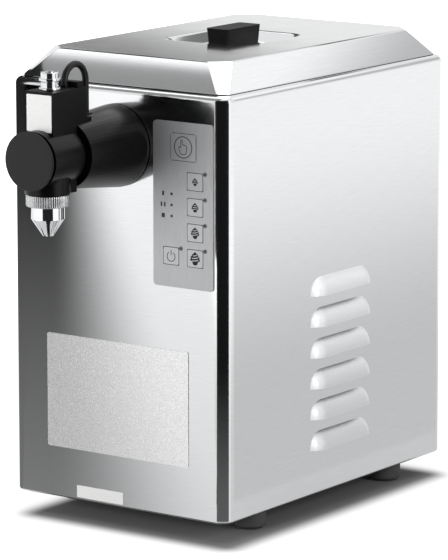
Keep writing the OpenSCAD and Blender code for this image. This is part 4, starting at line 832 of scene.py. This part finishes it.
@dataclass
class KeypadPrint:
    """Lines and signs printed on the keypad's foil and keys."""

    face: float = -121.8
    thick: float = 0.05
    line: float = 0.5
    line_gap: float = 0.6
    manual_corner: float = 3.0
    portion_corner: float = 0.6
    power_corner: float = 0.8
    lamp_r: float = 1.75
    lamp_line: float = 0.45
    lamp_off: float = 2.6
    hand_ring: float = 9.6
    hand_ring_line: float = 0.8
    hand_line: float = 0.6
    hand: tuple[Pair, ...] = (
        (-3.4, -6.4), (-3.3, -4.2), (-4.8, -1.2), (-4.9, 0.2), (-4.0, 0.6), (-2.5, -1.0), (-2.5, 2.0),
        (-2.6, 6.2), (-1.9, 7.0), (-1.0, 6.4), (-0.8, 2.2), (0.2, 2.7), (0.9, 1.9), (1.9, 2.2), (2.5, 1.4),
        (3.4, 1.4), (3.9, 0.4), (3.8, -2.8), (3.1, -6.4))
    right_swirl: tuple[Pair, ...] = (
        (0.0, 5.2), (0.7, 3.8), (1.9, 3.0), (1.7, 2.0), (2.9, 1.2), (2.4, 0.1), (3.3, -0.8), (2.4, -1.8),
        (1.7, -2.0), (1.3, -4.6))
    folds: tuple[Pair, ...] = ((1.2, 2.6), (1.9, 0.8), (2.0, -1.0))
    fold_lift: Triple = (-0.7, -0.5, 0.3)
    fold_line: float = 0.6
    portions: tuple[float, ...] = (1.3, 1.1, 0.92, 0.76)
    spread: Pair = (1.4, 1.0)
    power_r: float = 4.4
    power_turn: Pair = (125, 290)
    power_down: float = 0.6
    power_bar: Triple = (0.6, 3.2, 5.6)
    power_line: float = 0.7
    lights: tuple[float, ...] = (296.2, 306.3, 316.4)
    light_x: float = 61.4
    sign_off: float = 8.2
    sign_bars: tuple[tuple[Pair, ...], ...] = (
        ((-0.9, 1.4), (0.9, 1.82)), ((-1.8, 1.54), (1.8, 1.54)), ((0.0, 2.1),))
    sign_heights: Triple = (-2.0, 0.0, 2.0)

    def build(self) -> None:
        """Draws the signs key by key, then the signs beside the lights."""
        self._manual()
        for i, size in enumerate(self.portions, 1):
            self._portion(i, size)
        self._power()
        for i, z in enumerate(self.lights):
            self._sign(i, np.array([self.light_x - self.sign_off, z]))

    def _manual(self) -> None:
        """Draws the hand in its circle."""
        node = "key_manual"
        mid, face = self._key(node, self.manual_corner, False)
        self._draw("hand_circle", node, circle(self.hand_ring) + mid, self.hand_ring_line, face, True)
        self._draw("hand_sign", node, self._smooth(self.hand) + mid, self.hand_line, face, True)

    def _portion(self, i: int, size: float) -> None:
        """Draws one portion of cream: a dark swirl on a cup, with folds in the foil's tone.

        Args:
            i: Number of the key.
            size: Size of the sign.
        """
        node = f"key_portion_{i}"
        mid, face = self._key(node, self.portion_corner, True)
        wide = size * np.array(self.spread)
        half = np.array(self.right_swirl)
        swirl = np.vstack([half, half[:0:-1] * [-1, 1]])
        self._fill(f"cream_sign_{i}", node, wide * self._smooth(swirl) + mid, face)
        for j, (reach, z) in enumerate(self.folds):
            bar = np.column_stack([[-reach, 0, reach], z + np.array(self.fold_lift)])
            self._draw(f"cream_fold_{i}_{j}", node, wide * bar + mid, self.fold_line * size,
                       face - self.thick, False, KEY)

    def _power(self) -> None:
        """Draws the open ring and the bar of the power key."""
        node = "key_power"
        mid, face = self._key(node, self.power_corner, True)
        ring = circle(self.power_r, *self.power_turn) + mid - [0, self.power_down]
        bar = np.column_stack([np.zeros(len(self.power_bar)), self.power_bar]) + mid
        self._draw("power_ring", node, ring, self.power_line, face, False)
        self._draw("power_bar", node, bar, self.power_line, face, False)

    def _smooth(self, points: Sequence[Pair]) -> np.ndarray:
        """Cuts the corners of a loop twice: new points stand at 1/4 and 3/4 of each edge.

        Args:
            points: Corners of the loop.

        Returns:
            The rounded loop.
        """
        line = np.array(points, dtype=float)
        for _ in range(2):
            after = np.roll(line, -1, axis=0)
            line = np.stack([0.75 * line + 0.25 * after, 0.25 * line + 0.75 * after], axis=1).reshape(-1, 2)
        return line

    def _fill(self, name: str, body: str, path: np.ndarray, face: float) -> None:
        """Lays one printed patch: the outline at the face and the same a little proud, closed by a fan.

        Args:
            name: Name of the piece.
            body: Body that carries it.
            path: x and z pairs of its outline in millimetres.
            face: y of the printed face.
        """
        x, z = (np.tile(path[:, i], (2, 1)) for i in (0, 1))
        level = np.array([face, face - self.thick])[:, None] + 0 * x
        piece = lay_surface(name, np.stack([x, level, z], axis=-1), caps=(True, True))
        place(piece, INK, body)

    def _draw(self, name: str, body: str, path: np.ndarray, width: float, face: float, closed: bool,
              finish: Finish = INK) -> None:
        """Lays one printed line.

        Args:
            name: Name of the piece.
            body: Body that carries it.
            path: x and z pairs in millimetres.
            width: Width of the line.
            face: y of the printed face.
            closed: Whether it is a loop.
            finish: Its finish.
        """
        grid = ribbon(path, width, face, self.thick, closed)
        piece = lay_surface(name, grid, around_u=closed, caps=(not closed, not closed))
        place(piece, finish, body)

    def _key(self, node: str, radius: float, light: bool) -> tuple[np.ndarray, float]:
        """Outlines a key on the foil around it and rings the light at its corner.

        Args:
            node: Node of the key.
            radius: Corner radius of the line.
            light: Whether a light stands at its top right corner.

        Returns:
            Middle of the key as x and z, and the y of its face, in millimetres.
        """
        low, high = (np.array(p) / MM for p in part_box(node))
        size, mid = high - low + self.line_gap, (low[[0, 2]] + high[[0, 2]]) / 2
        outline = box_line(size[0], size[2], radius) + mid
        self._draw(node + "_line", Body.MACHINE.value, outline, self.line, self.face, True)
        if light:
            ring = circle(self.lamp_r, points=24) + [high[0] + self.lamp_off, high[2]]
            self._draw(node + "_light", Body.MACHINE.value, ring, self.lamp_line, self.face, True)
        return mid, float(low[1])

    def _sign(self, i: int, mid: np.ndarray) -> None:
        """Draws one of the three small signs as upright bars: a close pair, a wide pair and a single one.

        Args:
            i: Which sign.
            mid: Its middle as x and z.
        """
        for j, (x, width) in enumerate(self.sign_bars[i]):
            stick = np.column_stack([np.full(len(self.sign_heights), x), self.sign_heights]) + mid
            self._draw(f"sign_{i}_{j}", Body.MACHINE.value, stick, width, self.face, False)


def wall(x: Pair, y: Pair, z: Pair) -> np.ndarray:
    """Gives the corners of an upright sheet over a straight line on the floor."""
    return np.array([[[x[i], y[i], high] for high in z] for i in (0, 1)], float)


def roof(x: Pair, y: Pair, z: float) -> np.ndarray:
    """Gives the corners of a level sheet."""
    return np.array([[[across, along, z] for across in x] for along in y], float)


def bent(middle: Pair, radius: float, turn: Pair, z: Pair, steps: int = 25) -> np.ndarray:
    """Gives an upright round sheet: middle + radius * (sin a, -cos a).

    Args:
        middle: x and y of its axis.
        radius: Its radius.
        turn: First and last angle in degrees, 0 to the front and 90 to the right.
        z: Its foot and its top.
        steps: Points along the turn.

    Returns:
        Points as steps, 2, 3.
    """
    a = np.radians(np.linspace(*turn, steps))[:, None]
    high = np.array(z)
    return np.stack([middle[0] + radius * np.sin(a) + 0 * high, middle[1] - radius * np.cos(a) + 0 * high,
                     high + 0 * a], axis=-1)


@dataclass(frozen=True)
class Card:
    """Sheet of the studio that only mirrors see, with a soft change of tone along one axis.

    Attributes:
        name: Name of the card.
        grid: Its points in millimetres.
        glow: Tones at both ends of the span.
        axis: Axis that the tone changes along.
        span: Places of the two tones on that axis, in metres.
        lean: How far the two places move for each metre of height.
        fade: How much the two tones change for each metre of height.
    """

    name: str
    grid: np.ndarray
    glow: Pair
    axis: str = "Z"
    span: Pair = (0.0, 1.0)
    lean: Pair = (0.0, 0.0)
    fade: Pair = (0.0, 0.0)

    def build(self) -> None:
        """Makes the card and its glow."""
        card = lay_surface(self.name, self.grid, around_v=False)
        made = bpy.data.materials.new(self.name)
        made.use_nodes = True
        tree = made.node_tree
        tree.nodes.clear()
        where = add_node(tree, "SeparateXYZ", add_node(tree, "TexCoord").outputs["Object"])
        tone = add_node(tree, "MapRange", where.outputs[self.axis], *self.span, *self.glow,
                        interpolation_type="SMOOTHSTEP")
        names = ("From Min", "From Max", "To Min", "To Max")
        for name, rate, start in zip(names, self.lean + self.fade, self.span + self.glow):
            if rate:
                line = add_node(tree, "Math", where.outputs["Z"], rate, start, operation="MULTIPLY_ADD",
                                use_clamp=name == "To Min")
                tree.links.new(line.outputs[0], tone.inputs[name])
        light = add_node(tree, "Emission", named={"Strength": tone.outputs[0]})
        add_node(tree, "OutputMaterial", light.outputs[0])
        card.data.materials.append(made)
        card.visible_camera = card.visible_diffuse = False
        card.visible_shadow = card.visible_transmission = False
        log.info("card %s", self.name)


@dataclass(frozen=True)
class Lamp:
    """Soft square lamp.

    Attributes:
        name: Name of the lamp.
        at: Its place in metres.
        to: Point that it faces.
        size: Side of the square.
        power: Watts.
        mirrored: Whether mirrors see it.
    """

    name: str
    at: Triple
    to: Triple
    size: float
    power: float
    mirrored: bool = True

    def build(self) -> None:
        """Hangs the lamp and turns it to its point."""
        data = bpy.data.lights.new(self.name, "AREA")
        data.shape, data.size, data.energy = "SQUARE", self.size, self.power
        made = bpy.data.objects.new(self.name, data)
        way = np.array(self.at) - np.array(self.to)
        made.location, made.visible_glossy = self.at, self.mirrored
        made.rotation_euler = (math.acos(way[2] / np.linalg.norm(way)), 0, math.atan2(way[0], -way[1]))
        bpy.context.scene.collection.objects.link(made)
        log.info("lamp %s", self.name)


@dataclass
class Studio:
    """Floor, cards, lamps, world and camera."""

    target: Triple = (-0.0102, 0.0624, 0.2009)
    azimuth: float = 35.297
    elevation: float = 10.84
    distance: float = 3.6933
    lens: float = 249.73
    sensor: float = 36.0
    clip_end: float = 30.0
    fill: float = 0.28
    floor_half: float = 4000.0
    floor_z: float = -0.4
    floor_tone: str = "909090"
    # Floor glow is held back over this rectangle and returns over the span beyond it: a painted contact
    # shadow
    foot: Pair = (0.104, 0.1655)
    foot_middle: Pair = (0.0175, 0.0449)
    painted_shadow_ramp: Pair = (0.003, 0.031)
    floor_glow: float = 0.85
    floor_far: Pair = (0.3, 1.5)
    floor_mirrored: float = 0.62
    panel_foot: Pair = (-133, -129)
    panel_lean: Pair = (-0.25, -0.3125)
    panel_edge: tuple[Pair, ...] = (
        (1, 107), (60, 103), (215, 52), (240, -3), (310, -24), (400, -30))
    corner: Pair = (105, -104)
    corner_far: float = 70.0
    corner_z: Pair = (1, 450)
    nozzle: Pair = (0, -221)
    nozzle_far: float = 120.0
    black: Pair = (0.02, 0.02)
    lamps: tuple[Lamp, ...] = (
        Lamp("top_softbox", (-0.1, 0.15, 1.7), (0, 0.05, 0.3), 1.5, 14),
        Lamp("front_softbox", (-0.75, -1.85, 0.5), (0, -0.1, 0.3), 0.9, 24, False),
        Lamp("right_softbox", (1.9, -0.1, 0.8), (0.1, 0.05, 0.25), 0.9, 12))

    def camera(self) -> None:
        """Sets the camera at the photograph's viewing angle."""
        az, el = math.radians(self.azimuth), math.radians(self.elevation)
        back = np.array([math.sin(az) * math.cos(el), -math.cos(az) * math.cos(el), math.sin(el)])
        data = bpy.data.cameras.new("camera")
        data.lens, data.sensor_width, data.clip_end = self.lens, self.sensor, self.clip_end
        made = bpy.data.objects.new("camera", data)
        made.location = (np.array(self.target) + self.distance * back).tolist()
        made.rotation_euler = (math.pi / 2 - el, 0, az)
        bpy.context.scene.collection.objects.link(made)
        bpy.context.scene.camera = made

    def build(self) -> None:
        """Sets the view, the world, the floor, the cards and the lamps."""
        bpy.context.scene.view_settings.view_transform = "Standard"
        self._world()
        self._floor()
        for card in self._cards():
            card.build()
        for lamp in self.lamps:
            lamp.build()

    def _world(self) -> None:
        """Makes a world that is white to the camera, mirrors and clear parts, and a soft fill as light."""
        world = bpy.data.worlds.new("studio")
        bpy.context.scene.world = world
        world.use_nodes = True
        tree = world.node_tree
        tree.nodes.clear()
        rays = add_node(tree, "LightPath").outputs
        seen = rays["Is Camera Ray"]
        for kind in ("Is Glossy Ray", "Is Transmission Ray"):
            seen = add_node(tree, "Math", seen, rays[kind], operation="MAXIMUM").outputs[0]
        fill, white = (add_node(tree, "Background", WHITE, strength) for strength in (self.fill, 1.0))
        mix = add_node(tree, "MixShader", seen, fill.outputs[0], white.outputs[0])
        add_node(tree, "OutputWorld", mix.outputs[0])

    def _floor(self) -> None:
        """Lays a pale floor that keeps the lamps' shadow and adds a painted contact shadow round the machine.

        Its own glow to the eye is held back over the machine's foot print and grows with the distance from
        it, first beside it, which paints a soft contact shadow there, and once more far behind: the length of
        what is above zero in (|x - middle| - half width, |y - middle| - half length). Mirrors see a share of
        that glow.
        """
        reach = (-self.floor_half, self.floor_half)
        floor = lay_surface("floor", roof(reach, reach, self.floor_z), around_v=False)
        made = bpy.data.materials.new("pale_floor")
        made.use_nodes = True
        tree = made.node_tree
        tree.nodes.clear()
        where = add_node(tree, "TexCoord").outputs["Object"]
        middle = add_node(tree, "VectorMath", where, (*self.foot_middle, 0), operation="SUBTRACT")
        size = add_node(tree, "VectorMath", middle.outputs[0], operation="ABSOLUTE")
        past = add_node(tree, "VectorMath", size.outputs[0], (*self.foot, 1), operation="SUBTRACT")
        out = add_node(tree, "VectorMath", past.outputs[0], (0, 0, 0), operation="MAXIMUM")
        far = add_node(tree, "VectorMath", out.outputs[0], operation="LENGTH")
        # The near ramp is the painted contact shadow beside the machine; the far one brightens the floor far
        # behind
        painted_shadow_glow, far_glow = (add_node(tree, "MapRange", far.outputs["Value"], *span, 0.0, self.floor_glow,
                                        interpolation_type="SMOOTHSTEP")
                               for span in (self.painted_shadow_ramp, self.floor_far))
        full = add_node(tree, "Math", painted_shadow_glow.outputs[0], far_glow.outputs[0], operation="ADD")
        rays = add_node(tree, "LightPath").outputs
        share = add_node(tree, "Math", rays["Is Glossy Ray"], self.floor_mirrored, rays["Is Camera Ray"],
                         operation="MULTIPLY_ADD")
        seen = add_node(tree, "Math", share.outputs[0], full.outputs[0], operation="MULTIPLY")
        lit = add_node(tree, "BsdfDiffuse", linear(self.floor_tone))
        own = add_node(tree, "Emission", named={"Strength": seen.outputs[0]})
        both = add_node(tree, "AddShader", lit.outputs[0], own.outputs[0])
        add_node(tree, "OutputMaterial", both.outputs[0])
        floor.data.materials.append(made)

    def _panel_sheet(self) -> np.ndarray:
        """Gives the sheet that leans out and to the left from the panel's foot and keeps left of the arm.

        Returns:
            Points as heights, 2, 3.
        """
        high, right = np.array(self.panel_edge).T
        left, front = (foot + rate * high for foot, rate in zip(self.panel_foot, self.panel_lean))
        return np.stack([np.stack([left, front, high], -1), np.stack([right, front, high], -1)], axis=1)

    def _cards(self) -> list[Card]:
        """Lists the cards that the bare steel mirrors.

        Returns:
            The cards.
        """
        return [
            # Front panel: dark on the left, bright on the right and towards the top
            Card("panel_card", self._panel_sheet(), (0.256, 0.86), "X", (-0.089, 0.132), (-0.21, -0.695),
                 (-0.755, 1.1)),
            # Left edge of the panel
            Card("left_card", wall((-137, -137), (-162, -84), (1, 470)), (0.2, 0.02), span=(0, 0.4)),
            # Dark band on the front right corner, and the bright line beside it
            Card("corner_card", bent(self.corner, self.corner_far, (-6, 81), self.corner_z), (0.13, 0.01),
                 span=(0, 0.16)),
            Card("edge_card", bent(self.corner, self.corner_far, (82, 96), self.corner_z), (0.95, 1.25),
                 span=(0, 0.3)),
            # Dark streaks on the nozzle and the ring, from the right and from below
            Card("nozzle_card", bent(self.nozzle, self.nozzle_far, (3, 70), (220, 560)), self.black),
            Card("cone_card", roof((10, 120), (-334, -244), 3), self.black),
            # Right side: darker towards the foot
            Card("side_card", wall((207, 207), (1, 430), (1, 400)), (0.68, 1.15), span=(0.10, 0.36)),
            # Front slope of the lid and the fold above it
            Card("slope_card", roof((-420, 150), (-500, -60), 620), (0.36, 1.5), "Y", (-0.187, -0.177)),
            Card("fold_card", wall((-500, -500), (50, 600), (600, 1300)), (0.1, 0.1)),
            # Flat top of the lid, and its right slope
            Card("lid_card", wall((-800, 100), (708, 258), (436, 580)), (0.92, 0.22), span=(0.475, 0.55)),
            Card("back_card", wall((200, 700), (700, 700), (500, 1200)), (0.62, 1.2), span=(0.65, 0.82)),
        ]


def main() -> None:
    """Builds the studio's camera and the pieces in order, then the rest of the studio."""
    logging.basicConfig(level=logging.INFO, format="%(name)s: %(message)s")
    studio = Studio()
    studio.camera()
    Head().build()
    SolidParts().dress()
    Lid().build()
    ValveSpring().build()
    Outlet().build()
    KeypadPrint().build()
    studio.build()


if __name__ == "__main__":
    main()
